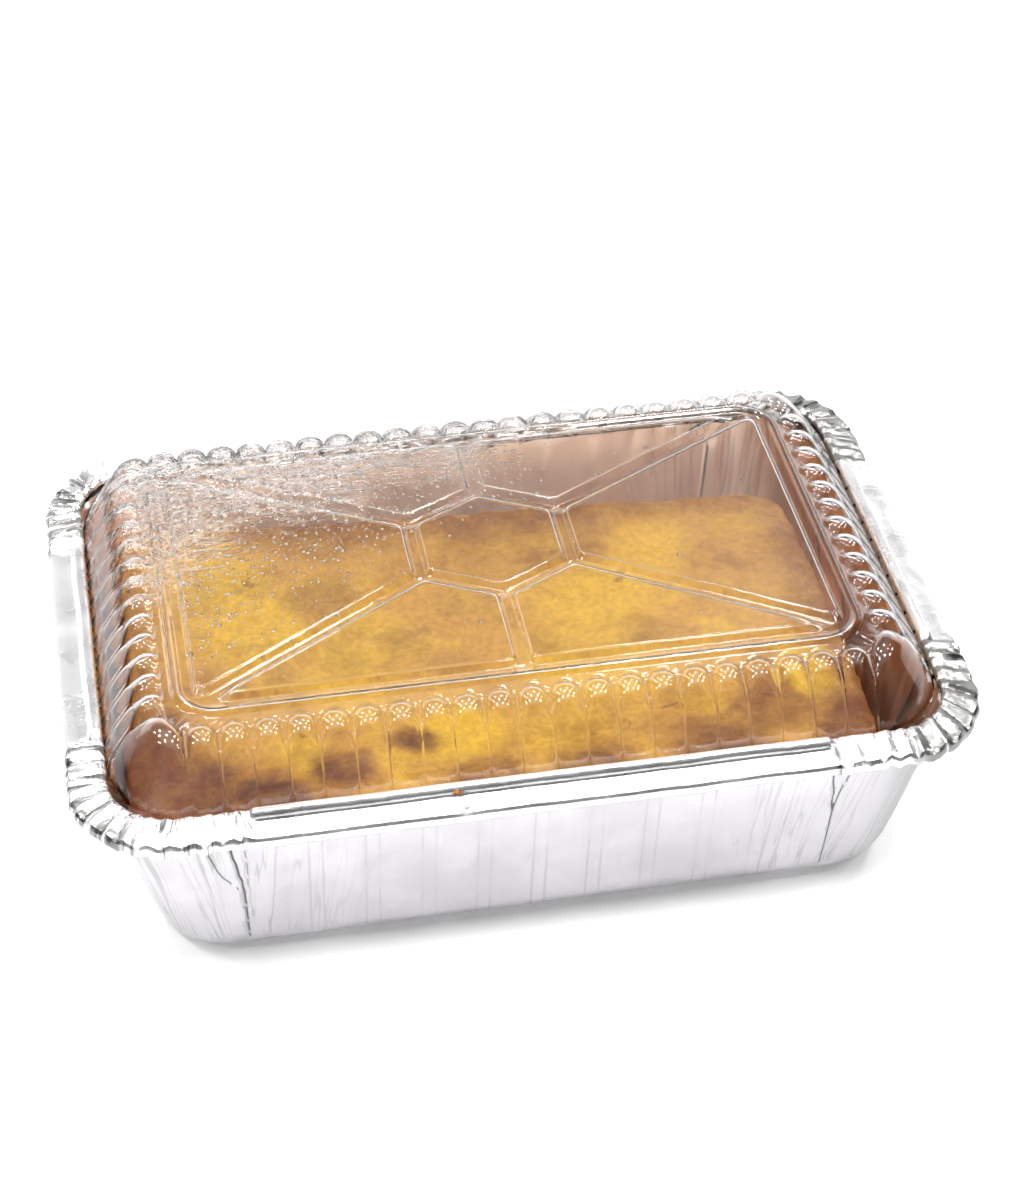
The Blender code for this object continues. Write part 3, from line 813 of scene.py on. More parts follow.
def build_lid_mesh(lid):
    outline = lid_outline(lid)
    straight_x, straight_y = outline.straight

    def ribbed(row):
        crest_out, crest_up, valley_out, valley_up, width, square = row
        weight = rib_weight(outline, min(max(width, 0.0), 1.0), square)
        crest_x, crest_y = lid.border_half_x + crest_out * MM, lid.border_half_y + crest_out * MM
        crest, _ = outline.ring(crest_x, crest_y, crest_x - straight_x, crest_y - straight_y)
        valley_x, valley_y = lid.border_half_x + valley_out * MM, lid.border_half_y + valley_out * MM
        valley, _ = outline.ring(valley_x, valley_y, valley_x - straight_x, valley_y - straight_y)
        crest[:, 2] = crest_up * MM
        valley[:, 2] = valley_up * MM
        return valley + (crest - valley) * weight[:, None]

    flange, _ = outline.ring(FLANGE_HALF_X, FLANGE_HALF_Y,
                             FLANGE_HALF_X - straight_x, FLANGE_HALF_Y - straight_y)
    flange[:, 2] = FLANGE_HEIGHT
    rings = [flange] + [ribbed(row) for row in smooth_rows(RIB_ROWS, 3)]
    # Distance out of the border, height: the shoulder, the border's ridge, and down into the groove
    rise = BORDER_TOP - FLOOR_HEIGHT
    border_rows = ((1.2 * MM, SHOULDER_HEIGHT + 0.1 * MM),
                   (0.55 * MM, SHOULDER_HEIGHT + 0.35 * MM),
                   (0.15 * MM, BORDER_TOP - 0.25 * MM),
                   (-0.25 * MM, BORDER_TOP),
                   (-0.85 * MM, BORDER_TOP - 0.05 * MM),
                   (-1.45 * MM, FLOOR_HEIGHT + 0.62 * rise),
                   (-2.0 * MM, FLOOR_HEIGHT + 0.16 * rise),
                   (-2.6 * MM, FLOOR_HEIGHT))
    border, normals = closest_on_outline(rings[-1], lid.border_half_x, lid.border_half_y, lid.border_radius)
    for out, height in border_rows:
        ring = border + normals * out
        ring[:, 2] = height
        rings.append(ring)
    pieces = [loft("lid_wall", rings)]
    for number, cell in enumerate(channel_cells(lid)):
        pieces.append(loft(f"panel_{number}", panel_rings(lid, cell), fill_last=True))
    lid_piece = join("clear_lid", pieces)
    edit_all(lid_piece)
    bpy.ops.mesh.select_mode(type="EDGE")
    bpy.ops.mesh.select_all(action="DESELECT")
    edit = bmesh.from_edit_mesh(lid_piece.data)
    for edge in edit.edges:
        low = all(abs(vert.co.z - FLOOR_HEIGHT) < 1e-5 for vert in edge.verts)
        edge.select = edge.is_boundary and low
    bmesh.update_edit_mesh(lid_piece.data)
    bpy.ops.mesh.fill(use_beauty=False)
    end_edit()
    face_up(lid_piece)
    give_wall(lid_piece, lid.sheet)
    shade(lid_piece, 60)
    return lid_piece


# Cake

def build_cake_mesh(cake):
    """A copy of the frame's block, merged, cut into even faces and roughened into a crust."""
    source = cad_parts["cake"]
    piece = bpy.data.objects.new("corn_cake", source.data.copy())
    bpy.context.collection.objects.link(piece)
    edit_all(piece)
    bpy.ops.mesh.remove_doubles(threshold=0.00001)
    end_edit()
    modify(piece, "even", "REMESH", mode="VOXEL", voxel_size=cake.voxel)
    modify(piece, "soften", "SMOOTH", factor=0.6, iterations=6)
    displace(piece, "lumps", "CLOUDS", 14 * MM, cake.lump_height)
    displace(piece, "knobs", "CLOUDS", 5 * MM, 0.5 * cake.lump_height, noise_depth=2)
    displace(piece, "grain", "STUCCI", 2.6 * MM, 0.22 * cake.lump_height, turbulence=4.0)
    smooth(piece)
    return piece


# Droplets under the lid and crumbs on the rim

def scatter(name, template, places):
    """One mesh of many copies of a small shape, each at a place with its own size and turn."""
    verts = []
    faces = []
    corners, sides = template
    for (x, y, z), size, squash, turn in places:
        first = len(verts)
        cos, sin = math.cos(turn), math.sin(turn)
        for u, v, w in corners:
            verts.append((x + size * (cos * u - sin * v), y + size * (sin * u + cos * v),
                          z + size * squash * w))
        faces += [tuple(first + i for i in side) for side in sides]
    mesh = bpy.data.meshes.new(name)
    mesh.from_pydata(verts, [], faces)
    piece = bpy.data.objects.new(name, mesh)
    bpy.context.collection.objects.link(piece)
    return piece


def small_ball(subdivisions):
    """Corners and faces of a ball made by Blender's own icosphere."""
    deselect_all()
    bpy.ops.mesh.primitive_ico_sphere_add(subdivisions=subdivisions, radius=1.0)
    ball = bpy.context.object
    corners = [tuple(vert.co) for vert in ball.data.vertices]
    sides = [tuple(face.vertices) for face in ball.data.polygons]
    bpy.data.objects.remove(ball)
    return corners, sides


def fog_share(x, y):
    """How much steam has settled on the lid's top: most over the back left, none at the right."""
    edge = noise.noise(Vector((x, y, 0.0)) / (22 * MM))
    reach = (-x / MM * 0.012) + (y / MM * 0.014) + 0.35 * edge
    return float(ramp(np.array(reach), -0.05, 0.9))


def build_droplets_mesh(wet, lid):
    draw = random.Random(7)
    half_x = LID_HIGH.x - 28 * MM
    half_y = LID_HIGH.y - 30 * MM
    places = []
    below = PANEL_TOP - lid.sheet
    while len(places) < wet.droplets:
        x = draw.uniform(-half_x, half_x)
        y = draw.uniform(-half_y, half_y)
        if draw.random() > fog_share(x, y) ** 1.4 + 0.004:
            continue
        size = wet.finest + (wet.widest - wet.finest) * draw.random() ** 4
        places.append(((x, y, below - 0.12 * size), size, 0.42, draw.uniform(0, math.tau)))
    piece = scatter("droplets", small_ball(1), places)
    smooth(piece)
    return piece


SPECKS = ((-98.0, -62.0), (-93.5, -65.5), (-88.0, -70.5), (-84.0, -68.0), (88.5, -68.5), (84.0, -71.0))
CRUMB_HEIGHT = 52.6 * MM


def build_crumbs_mesh(wet):
    """One large crumb by the dent and small brown specks on the gathered corners."""
    draw = random.Random(3)
    places = [((DENT_X - 1.4 * MM, -71.0 * MM, CRUMB_HEIGHT + 0.5 * MM), wet.crumb, 0.7, 0.4),
              ((DENT_X - 0.4 * MM, -71.6 * MM, CRUMB_HEIGHT + 0.4 * MM), 0.5 * wet.crumb, 0.8, 1.4)]
    for x, y in SPECKS:
        size = wet.crumb * draw.uniform(0.22, 0.4)
        places.append(((x * MM, y * MM, CRUMB_HEIGHT + 1.0 * MM), size, 0.6, draw.uniform(0, math.tau)))
    piece = scatter("rim_crumbs", small_ball(2), places)
    displace(piece, "crumb_grain", "CLOUDS", 0.6 * MM, 0.35 * MM)
    smooth(piece)
    return piece


# Materials

class Graph:
    """A node tree of a material, a group or the room, with short ways to add and join nodes."""

    def __init__(self, tree):
        self.tree = tree
        self.nodes = tree.nodes

    def add(self, kind, **settings):
        node = self.nodes.new(kind)
        for key, value in settings.items():
            setattr(node, key, value)
        return node

    def link(self, source, target):
        self.tree.links.new(source, target)

    def object_point(self):
        return self.add("ShaderNodeTexCoord").outputs["Object"]

    def noise(self, vector, scale, detail=2.0, roughness=0.5, distortion=0.0):
        node = self.add("ShaderNodeTexNoise")
        node.inputs["Scale"].default_value = scale
        node.inputs["Detail"].default_value = detail
        node.inputs["Roughness"].default_value = roughness
        node.inputs["Distortion"].default_value = distortion
        self.link(vector, node.inputs["Vector"])
        return node.outputs["Fac"]

    def cells(self, vector, scale):
        node = self.add("ShaderNodeTexVoronoi")
        node.inputs["Scale"].default_value = scale
        self.link(vector, node.inputs["Vector"])
        return node.outputs["Distance"]

    def ranged(self, value, low, high, to_low=0.0, to_high=1.0):
        node = self.add("ShaderNodeMapRange", interpolation_type="SMOOTHSTEP")
        for name, number in (("From Min", low), ("From Max", high), ("To Min", to_low), ("To Max", to_high)):
            node.inputs[name].default_value = number
        self.link(value, node.inputs["Value"])
        return node.outputs["Result"]

    def feed(self, socket, value):
        """Gives a socket a number, a vector or a colour, or links an output to it."""
        if isinstance(value, (int, float)):
            socket.default_value = value
        elif hasattr(value, "__len__"):
            socket.default_value = (*value, 1.0)[:len(socket.default_value)]
        else:
            self.link(value, socket)

    def maths(self, operation, *values):
        node = self.add("ShaderNodeMath", operation=operation)
        for socket, value in zip(node.inputs, values):
            self.feed(socket, value)
        return node.outputs[0]

    def vectors(self, operation, *values, output=0):
        node = self.add("ShaderNodeVectorMath", operation=operation)
        for socket, value in zip(node.inputs, values):
            self.feed(socket, value)
        return node.outputs[output]

    def mixed(self, factor, first, second):
        node = self.add("ShaderNodeMix", data_type="RGBA")
        for number, value in ((0, factor), (6, first), (7, second)):
            self.feed(node.inputs[number], value)
        return node.outputs[2]

    def blended(self, factor, first, second):
        node = self.add("ShaderNodeMix", data_type="FLOAT")
        for number, value in ((0, factor), (2, first), (3, second)):
            self.feed(node.inputs[number], value)
        return node.outputs[0]

    def bump(self, height, strength, distance, onto=None):
        node = self.add("ShaderNodeBump")
        node.inputs["Strength"].default_value = strength
        node.inputs["Distance"].default_value = distance
        self.link(height, node.inputs["Height"])
        if onto is not None:
            self.link(onto, node.inputs["Normal"])
        return node.outputs["Normal"]

    def scaled(self, vector, x, y, z):
        return self.vectors("MULTIPLY", vector, (x, y, z))

    def attribute(self, name, output):
        return self.add("ShaderNodeAttribute", attribute_name=name).outputs[output]

    def fold_shade_lines(self, place, share):
        """Thin lines of painted shade across the gathered rim, each broken where another noise is low."""
        lines = None
        for scale, width in ((210.0, 0.030), (420.0, 0.040)):
            wave = self.maths("ABSOLUTE", self.maths("SUBTRACT", self.noise(place, scale, 1.0, 0.5), 0.5))
            thin = self.ranged(wave, 0.0, width, 1.0, 0.0)
            present = self.ranged(self.noise(place, 0.4 * scale, 1.0), 0.44, 0.58)
            thin = self.maths("MULTIPLY", thin, present)
            lines = thin if lines is None else self.maths("MAXIMUM", lines, thin)
        return self.maths("MULTIPLY", lines, self.maths("MULTIPLY", share, 0.9))

    def strayed(self, point, scale, reach):
        """The point seen from above, pushed about by a noise."""
        push = self.add("ShaderNodeTexNoise")
        push.inputs["Scale"].default_value = scale
        push.inputs["Detail"].default_value = 4.0
        self.link(point, push.inputs["Vector"])
        about = self.vectors("SUBTRACT", push.outputs["Color"], (0.5, 0.5, 0.5))
        moved = self.vectors("MULTIPLY_ADD", about, (reach, reach, 0.0), point)
        return self.scaled(moved, 1.0, 1.0, 0.0)

    def patches(self, place, table):
        """1 inside round soft-edged patches, given in millimetres."""
        found = None
        for x, y, radius, strength in table:
            away = self.vectors("DISTANCE", place, (x * MM, y * MM, 0.0), output="Value")
            inside = self.ranged(away, 0.45 * radius * MM, 1.1 * radius * MM, strength, 0.0)
            found = inside if found is None else self.maths("MAXIMUM", found, inside)
        return found

    def panel_lines(self, point):
        """Faint upright lines of painted shade where the wall's flat panels meet its sunk strips."""
        axes = self.split(point)
        lines = None
        for axis, far, kept in (("X", "Y", FLUTED_HALF_X), ("Y", "X", FLUTED_HALF_Y)):
            along = self.maths("PINGPONG", self.maths("ADD", axes[axis], 40 * FLUTE_PITCH), FLUTE_PITCH / 2)
            edge = self.maths("ABSOLUTE", self.maths("SUBTRACT", along, FLUTE_STRIP / 2))
            thin = self.ranged(edge, 0.1 * MM, 0.45 * MM, 1.0, 0.0)
            on_side = self.ranged(self.maths("ABSOLUTE", axes[axis]), kept, kept + 2 * MM, 1.0, 0.0)
            shown = self.maths("MULTIPLY", thin, on_side)
            lines = shown if lines is None else self.maths("MAXIMUM", lines, shown)
        # A noise breaks the painted shade lines up unevenly
        patchy = self.ranged(self.noise(point, 60.0, 2.0), 0.35, 0.6, 0.15, 0.8)
        return self.maths("MULTIPLY", lines, patchy)

    def split(self, vector):
        node = self.add("ShaderNodeSeparateXYZ")
        self.link(vector, node.inputs[0])
        return node.outputs


def new_material(name):
    material = bpy.data.materials.new(name)
    material.use_nodes = True
    return material, Graph(material.node_tree), material.node_tree.nodes["Principled BSDF"]


def foil_skin(tray):
    """The node group both foils share: rim, tone, painted fold shade, roughness and normal."""
    name = "foil skin"
    if name in bpy.data.node_groups:
        return bpy.data.node_groups[name]
    tree = bpy.data.node_groups.new(name, "ShaderNodeTree")
    for label, way, kind in (("Wall Roughness", "INPUT", "Float"), ("Rim Roughness", "INPUT", "Float"),
                             ("Rim", "OUTPUT", "Float"), ("Tone", "OUTPUT", "Float"),
                             ("Painted Fold Shade", "OUTPUT", "Float"), ("Roughness", "OUTPUT", "Float"),
                             ("Normal", "OUTPUT", "Vector")):
        tree.interface.new_socket(name=label, in_out=way, socket_type="NodeSocket" + kind)
    graph = Graph(tree)
    given = graph.add("NodeGroupInput").outputs
    result = graph.add("NodeGroupOutput").inputs
    point = graph.object_point()
    axes = graph.split(point)
    on_rim = graph.ranged(axes["Z"], tray.shelf_height - 1 * MM, tray.shelf_height + 1 * MM)
    stained = graph.noise(point, 55.0, 3.0, 0.6, 0.4)
    plain = graph.blended(on_rim, given["Wall Roughness"], given["Rim Roughness"])
    rough = graph.maths("MULTIPLY_ADD", stained, 0.16, plain)

    # Painted shade: fine dark lines in the gathers' folds, shadowed pleats round the short sides and along
    # the right end, and dark pinched creases in the wall
    place = graph.attribute(FOLD_PLACE, "Vector")
    share = graph.attribute(FOLD_SHARE, "Fac")
    line = graph.ranged(graph.attribute(CREASE_SHADE, "Fac"), 0.45, 0.85)
    turned = graph.ranged(graph.maths("ABSOLUTE", axes["X"]), 92 * MM, 98 * MM)
    right_end = graph.ranged(axes["X"], 80 * MM, 90 * MM)
    turned = graph.maths("MAXIMUM", turned, right_end)
    deepened = graph.maths("MULTIPLY_ADD", right_end, 0.15, graph.noise(place, 620.0, 2.0, 0.6))
    shadowed = graph.maths("MULTIPLY", graph.ranged(deepened, 0.42, 0.56), turned)
    shadowed = graph.maths("MULTIPLY", shadowed, graph.maths("MULTIPLY", share, 0.85))
    painted_fold_shade = graph.maths("MAXIMUM", graph.fold_shade_lines(place, share), shadowed)
    painted_fold_shade = graph.maths("MAXIMUM", painted_fold_shade, graph.maths("MULTIPLY", line, 0.85))

    rolled = graph.noise(graph.scaled(point, 1.0, 1.0, 9.0), 420.0, 3.0, 0.6)
    crinkle = graph.noise(point, 130.0, 4.0, 0.55, 0.8)
    wide = graph.noise(point, 38.0, 2.0, 0.5, 0.6)
    crumpled = graph.bump(crinkle, 0.22, 0.0012, graph.bump(rolled, 0.10, 0.0002))
    for label, value in (("Rim", on_rim), ("Tone", graph.ranged(stained, 0.35, 0.7)), ("Painted Fold Shade", painted_fold_shade),
                         ("Roughness", rough), ("Normal", graph.bump(wide, 0.25, 0.003, crumpled))):
        graph.link(value, result[label])
    return tree


def foil_material(tray, inside):
    """Rolled foil: a bright pressed rim, a duller wall, and inside it a brown tint that is partly browned
    syrup and partly painted reflection of the cake. Painted shade darkens the folds, the creases and the
    wall's right end.
    """
    material, graph, shader = new_material("stained foil with painted reflection" if inside else "rolled foil")
    skin = graph.add("ShaderNodeGroup", node_tree=foil_skin(tray))
    skin.inputs["Wall Roughness"].default_value = tray.wall_roughness
    skin.inputs["Rim Roughness"].default_value = tray.rim_roughness
    on_rim, tone = skin.outputs["Rim"], skin.outputs["Tone"]
    off_rim = graph.maths("SUBTRACT", 1.0, on_rim)
    point = graph.object_point()
    across = graph.split(point)["X"]
    if inside:
        # A brown tint inside: partly syrup browned on the foil, partly painted reflection of the cake,
        # strongest beside the cake's ends
        right = graph.ranged(across, CAKE_HIGH.x - 10 * MM, CAKE_HIGH.x + 6 * MM)
        left = graph.ranged(across, CAKE_LOW.x + 12 * MM, CAKE_LOW.x - 2 * MM)
        ends = graph.maths("MAXIMUM", right, left)
        browned = graph.maths("MAXIMUM", ends, graph.maths("MULTIPLY", tone, 0.15))
        inner_tint = graph.mixed(graph.maths("MULTIPLY", browned, off_rim), tray.stain_and_reflection_colour, tray.deep_stain_and_reflection)
        colour = graph.mixed(on_rim, inner_tint, tray.foil_colour)
    else:
        def wall(share):
            return [share * part for part in tray.wall_colour]

        skin_colour = graph.mixed(on_rim, tray.wall_colour, tray.foil_colour)
        duller = graph.mixed(on_rim, wall(0.9), [0.9 * part for part in tray.foil_colour])
        colour = graph.mixed(tone, duller, skin_colour)
        # Painted shade along the flute edges of the wall
        lines = graph.maths("MULTIPLY", graph.panel_lines(point), off_rim)
        colour = graph.mixed(lines, colour, wall(0.8))
        # Painted shade: the wall darkens towards its right end
        corner = graph.maths("MULTIPLY", graph.ranged(across, 62 * MM, 92 * MM), off_rim)
        colour = graph.mixed(corner, colour, wall(0.72))
    # Painted shade in the folds and creases, darkening the colour towards the fold shade colour
    graph.link(graph.mixed(skin.outputs["Painted Fold Shade"], colour, tray.fold_shade_colour), shader.inputs["Base Color"])
    shader.inputs["Metallic"].default_value = 1.0
    graph.link(skin.outputs["Roughness"], shader.inputs["Roughness"])
    graph.link(skin.outputs["Normal"], shader.inputs["Normal"])
    return material


# How fast the steam's fog thickens per metre to the left and to the back, and how uneven its border is
FOG_LEFT = 9.0
FOG_BACK = 16.0
FOG_RAGGED = 0.8


def plastic_material(lid):
    """Clear sheet that lamps shine through, frosted and rippled where steam has settled at the back left."""
    material, graph, shader = new_material("clear plastic")
    point = graph.object_point()
    axes = graph.split(point)
    patch = graph.noise(point, 45.0, 2.0, 0.5)
    left = graph.maths("MULTIPLY", axes["X"], -FOG_LEFT)
    back = graph.maths("MULTIPLY", axes["Y"], FOG_BACK)
    edge = graph.maths("MULTIPLY_ADD", patch, FOG_RAGGED, -FOG_RAGGED / 2)
    reach = graph.maths("ADD", graph.maths("ADD", left, back), edge)
    fog = graph.ranged(reach, 0.42, 1.0)
    on_top = graph.ranged(axes["Z"], 60 * MM, 66 * MM)
    fog = graph.maths("MULTIPLY", fog, on_top)
    speckle = graph.ranged(graph.noise(point, 900.0, 2.0, 0.6), 0.40, 0.62)
    misty = graph.maths("MULTIPLY", fog, speckle)
    rough = graph.maths("MULTIPLY_ADD", misty, lid.fog_roughness - lid.clear_roughness, lid.clear_roughness)
    graph.link(rough, shader.inputs["Roughness"])
    shader.inputs["Base Color"].default_value = (0.985, 0.98, 0.98, 1.0)
    shader.inputs["Transmission Weight"].default_value = 1.0
    shader.inputs["IOR"].default_value = lid.refraction
    ripple = graph.noise(graph.scaled(point, 0.4, 1.4, 1.0), 240.0, 2.0, 0.5, 0.5)
    wet = graph.maths("MULTIPLY", ripple, fog)
    drawn = graph.noise(graph.scaled(point, 1.0, 1.0, 0.25), 160.0, 1.0)
    sheet = graph.bump(drawn, 0.05, 0.0006)
    graph.link(graph.bump(wet, 0.8, 0.0014, sheet), shader.inputs["Normal"])
    let_lamps_through(graph, shader)
    return material


def let_lamps_through(graph, shader):
    """Shadow and diffuse rays pass straight through, so what the sheet covers stays lit."""
    output = graph.nodes["Material Output"]
    path = graph.add("ShaderNodeLightPath")
    passing = graph.maths("MAXIMUM", path.outputs["Is Shadow Ray"], path.outputs["Is Diffuse Ray"])
    open_way = graph.add("ShaderNodeBsdfTransparent")
    open_way.inputs["Color"].default_value = (0.93, 0.93, 0.93, 1.0)
    mix = graph.add("ShaderNodeMixShader")
    graph.link(passing, mix.inputs[0])
    graph.link(shader.outputs[0], mix.inputs[1])
    graph.link(open_way.outputs[0], mix.inputs[2])
    graph.link(mix.outputs[0], output.inputs["Surface"])


def water_material():
    """Clear droplets that the lamps shine through."""
    material, graph, shader = new_material("condensed water")
    point = graph.object_point()
    rough = graph.ranged(graph.noise(point, 700.0, 1.0), 0.3, 0.8, 0.0, 0.12)
    graph.link(rough, shader.inputs["Roughness"])
    shader.inputs["Base Color"].default_value = (0.98, 0.98, 0.985, 1.0)
    shader.inputs["Transmission Weight"].default_value = 1.0
    shader.inputs["IOR"].default_value = 1.33
    let_lamps_through(graph, shader)
    return material


# Soft patches of the crust, seen from above: middle and radius in millimetres, and strength. The sunny
# ones stayed bright yellow
SUNNY_PATCHES = (
    (-66.0, 30.0, 15.0, 1.0), (-60.0, 12.0, 20.0, 0.85), (-33.0, 1.0, 15.0, 0.7), (-40.0, -14.0, 16.0, 0.55),
    (28.0, 6.0, 20.0, 0.75), (22.0, -16.0, 24.0, 0.6), (44.0, 26.0, 15.0, 0.5), (74.0, -31.0, 9.0, 1.0),
    (-53.0, -38.0, 9.0, 0.8), (-14.0, -37.0, 14.0, 0.9), (12.0, -42.0, 12.0, 0.6), (-30.0, -48.0, 7.0, 0.6),
)
# The ones that caught went brown
CAUGHT_PATCHES = (
    (-92.0, -30.0, 19.0, 1.0), (-82.0, -50.0, 23.0, 1.0), (-62.0, -56.0, 15.0, 1.0),
    (-25.0, -39.0, 7.0, 0.9), (-44.0, -46.0, 9.0, 0.85), (-12.0, -60.0, 15.0, 0.75),
    (16.0, -60.0, 16.0, 0.75), (46.0, -58.0, 18.0, 0.8), (62.0, -42.0, 13.0, 0.7),
    (42.0, -33.0, 7.0, 0.4), (82.0, -50.0, 16.0, 0.85), (-42.0, 20.0, 11.0, 0.5), (5.0, 28.0, 18.0, 0.18),
    (-5.0, 15.0, 10.0, 0.18), (68.0, 18.0, 22.0, 0.18), (84.0, -8.0, 14.0, 0.28),
    (18.0, 44.0, 22.0, 0.35), (-36.0, 50.0, 20.0, 0.5), (-10.0, -12.0, 8.0, 0.3), (38.0, -8.0, 8.0, 0.25),
)


def crust_material(cake):
    """Corn crumb with bright kernels, brown patches where it caught, and darker rims and pits."""
    material, graph, shader = new_material("baked corn crust")
    point = graph.object_point()
    axes = graph.split(point)
    clouds = graph.noise(point, 30.0, 4.0, 0.62, 0.9)
    small = graph.noise(point, 150.0, 4.0, 0.65, 0.5)
    fine = graph.noise(point, 620.0, 3.0, 0.6)
    kernels = graph.ranged(graph.noise(point, 75.0, 2.0, 0.5, 0.7), 0.52, 0.72)
    strayed = graph.strayed(point, 48.0, 15 * MM)
    sunny = graph.patches(strayed, SUNNY_PATCHES)
    kernels = graph.maths("MAXIMUM", graph.maths("MULTIPLY", kernels, 0.55), sunny)
    base = graph.mixed(kernels, cake.golden, cake.bright)
    browned = graph.ranged(graph.maths("ADD", clouds, graph.maths("MULTIPLY", small, 0.35)), 0.62, 0.90)
    colour = graph.mixed(graph.maths("MULTIPLY", browned, 0.55), base, cake.baked)
    caught = graph.patches(strayed, CAUGHT_PATCHES)
    caught = graph.maths("MULTIPLY", caught, graph.ranged(small, 0.25, 0.7, 0.7, 1.0))
    colour = graph.mixed(caught, colour, cake.baked)
    uneven = graph.ranged(clouds, 0.35, 0.65, 0.25, 0.8)
    deepest = graph.maths("MULTIPLY", graph.ranged(caught, 0.55, 1.0), uneven)
    colour = graph.mixed(deepest, colour, cake.darkest)

    # Browning round the top's edge, down the sides and along the foot
    from_left = graph.ranged(axes["X"], CAKE_LOW.x + 2 * MM, CAKE_LOW.x + 17 * MM, 1.0, 0.0)
    from_right = graph.ranged(axes["X"], CAKE_HIGH.x - 17 * MM, CAKE_HIGH.x - 2 * MM)
    slanted = graph.maths("MULTIPLY_ADD", axes["X"], 0.061, axes["Y"])
    from_back = graph.ranged(slanted, CAKE_HIGH.y - 22 * MM, CAKE_HIGH.y - 6 * MM)
    edges = graph.maths("MAXIMUM", graph.maths("MAXIMUM", from_left, from_right), from_back)
    edges = graph.maths("MULTIPLY", edges, graph.ranged(small, 0.25, 0.65, 0.45, 1.0))
    colour = graph.mixed(graph.maths("MULTIPLY", edges, 0.8), colour, cake.baked)
    foot = graph.ranged(axes["Z"], CAKE_HIGH.z - 16 * MM, CAKE_HIGH.z - 3 * MM, 1.0, 0.0)
    foot = graph.maths("MULTIPLY", foot, graph.ranged(clouds, 0.35, 0.62, 0.4, 1.0))
    colour = graph.mixed(graph.maths("MULTIPLY", foot, 0.75), colour, cake.baked)
    burnt = graph.ranged(graph.noise(point, 95.0, 3.0, 0.6, 1.2), 0.66, 0.78)
    colour = graph.mixed(graph.maths("MULTIPLY", burnt, 0.7), colour, cake.darkest)
    grain = graph.ranged(fine, 0.3, 0.7, 0.82, 1.12)
    shaded = graph.add("ShaderNodeVectorMath", operation="SCALE")
    graph.link(colour, shaded.inputs[0])
    graph.link(grain, shaded.inputs["Scale"])
    graph.link(shaded.outputs[0], shader.inputs["Base Color"])
    rough = graph.ranged(small, 0.3, 0.7, 0.38, 0.62)
    graph.link(rough, shader.inputs["Roughness"])
    shader.inputs["Specular IOR Level"].default_value = 0.2
    shader.inputs["Subsurface Weight"].default_value = 0.08
    shader.inputs["Subsurface Radius"].default_value = (0.004, 0.002, 0.0006)
    shader.inputs["Subsurface Scale"].default_value = 1.0
    pits = graph.cells(point, 330.0)
    coarse = graph.bump(small, 0.5, 0.0014)
    pitted = graph.bump(pits, 0.35, 0.0005, coarse)
    graph.link(graph.bump(fine, 0.4, 0.0003, pitted), shader.inputs["Normal"])
    return material


TOASTED = (0.72, 0.26, 0.03)


def crumb_material(cake):
    """Crumbs that are partly toasted and partly browned."""
    material, graph, shader = new_material("toasted crumb")
    point = graph.object_point()
    patch = graph.ranged(graph.noise(point, 800.0, 3.0, 0.6), 0.35, 0.65)
    graph.link(graph.mixed(patch, cake.baked, TOASTED), shader.inputs["Base Color"])
    graph.link(graph.ranged(patch, 0.0, 1.0, 0.45, 0.7), shader.inputs["Roughness"])
    graph.link(graph.bump(graph.noise(point, 2200.0, 2.0), 0.5, 0.0002), shader.inputs["Normal"])
    return material


TABLE_WHITE = (0.93, 0.93, 0.93)
TABLE_FAINT = (0.42, 0.42, 0.42)


def floor_material():
    """A lit white table that the tray and lid mirror more faintly behind them than in front."""
    material, graph, shader = new_material("white table")
    behind = graph.ranged(graph.split(graph.object_point())["Y"], -0.03, 0.05)
    mirrored = graph.maths("MULTIPLY", behind, graph.add("ShaderNodeLightPath").outputs["Is Glossy Ray"])
    white = graph.mixed(mirrored, TABLE_WHITE, TABLE_FAINT)
    graph.link(white, shader.inputs["Base Color"])
    graph.link(white, shader.inputs["Emission Color"])
    shader.inputs["Roughness"].default_value = 0.7
    shader.inputs["Specular IOR Level"].default_value = 0.2
    distance = graph.vectors("LENGTH", graph.object_point(), output="Value")
    lit = graph.ranged(distance, 1.2, 4.0, 0.21, 1.1)
    graph.link(lit, shader.inputs["Emission Strength"])
    return material


# Operators

class CORN_OT_tray(bpy.types.Operator):
    """Make the crimped foil tray in place of the frame's tray"""
    bl_idname = "corn.tray"
    bl_label = "Foil Tray"

    def execute(self, context):
        tray = context.scene.corn_tray
        dress(build_tray_mesh(tray), None, "tray")
        return {"FINISHED"}


class CORN_OT_cake(bpy.types.Operator):
    """Make the browned corn cake in place of the frame's block"""
    bl_idname = "corn.cake"
    bl_label = "Corn Cake"

    def execute(self, context):
        cake = context.scene.corn_cake
        dress(build_cake_mesh(cake), crust_material(cake), "cake")
        return {"FINISHED"}


class CORN_OT_lid(bpy.types.Operator):
    """Make the ribbed clear lid in place of the frame's lid"""
    bl_idname = "corn.lid"
    bl_label = "Clear Lid"

    def execute(self, context):
        lid = context.scene.corn_lid
        dress(build_lid_mesh(lid), plastic_material(lid), "lid")
        return {"FINISHED"}


class CORN_OT_droplets(bpy.types.Operator):
    """Scatter condensed droplets under the lid's top"""
    bl_idname = "corn.droplets"
    bl_label = "Droplets"

    def execute(self, context):
        droplets = build_droplets_mesh(context.scene.corn_wet, context.scene.corn_lid)
        dress(droplets, water_material(), None)
        return {"FINISHED"}


class CORN_OT_crumbs(bpy.types.Operator):
    """Lay a few toasted crumbs on the rim"""
    bl_idname = "corn.crumbs"
    bl_label = "Crumbs"

    def execute(self, context):
        scene = context.scene
        dress(build_crumbs_mesh(scene.corn_wet), crumb_material(scene.corn_cake), None)
        return {"FINISHED"}


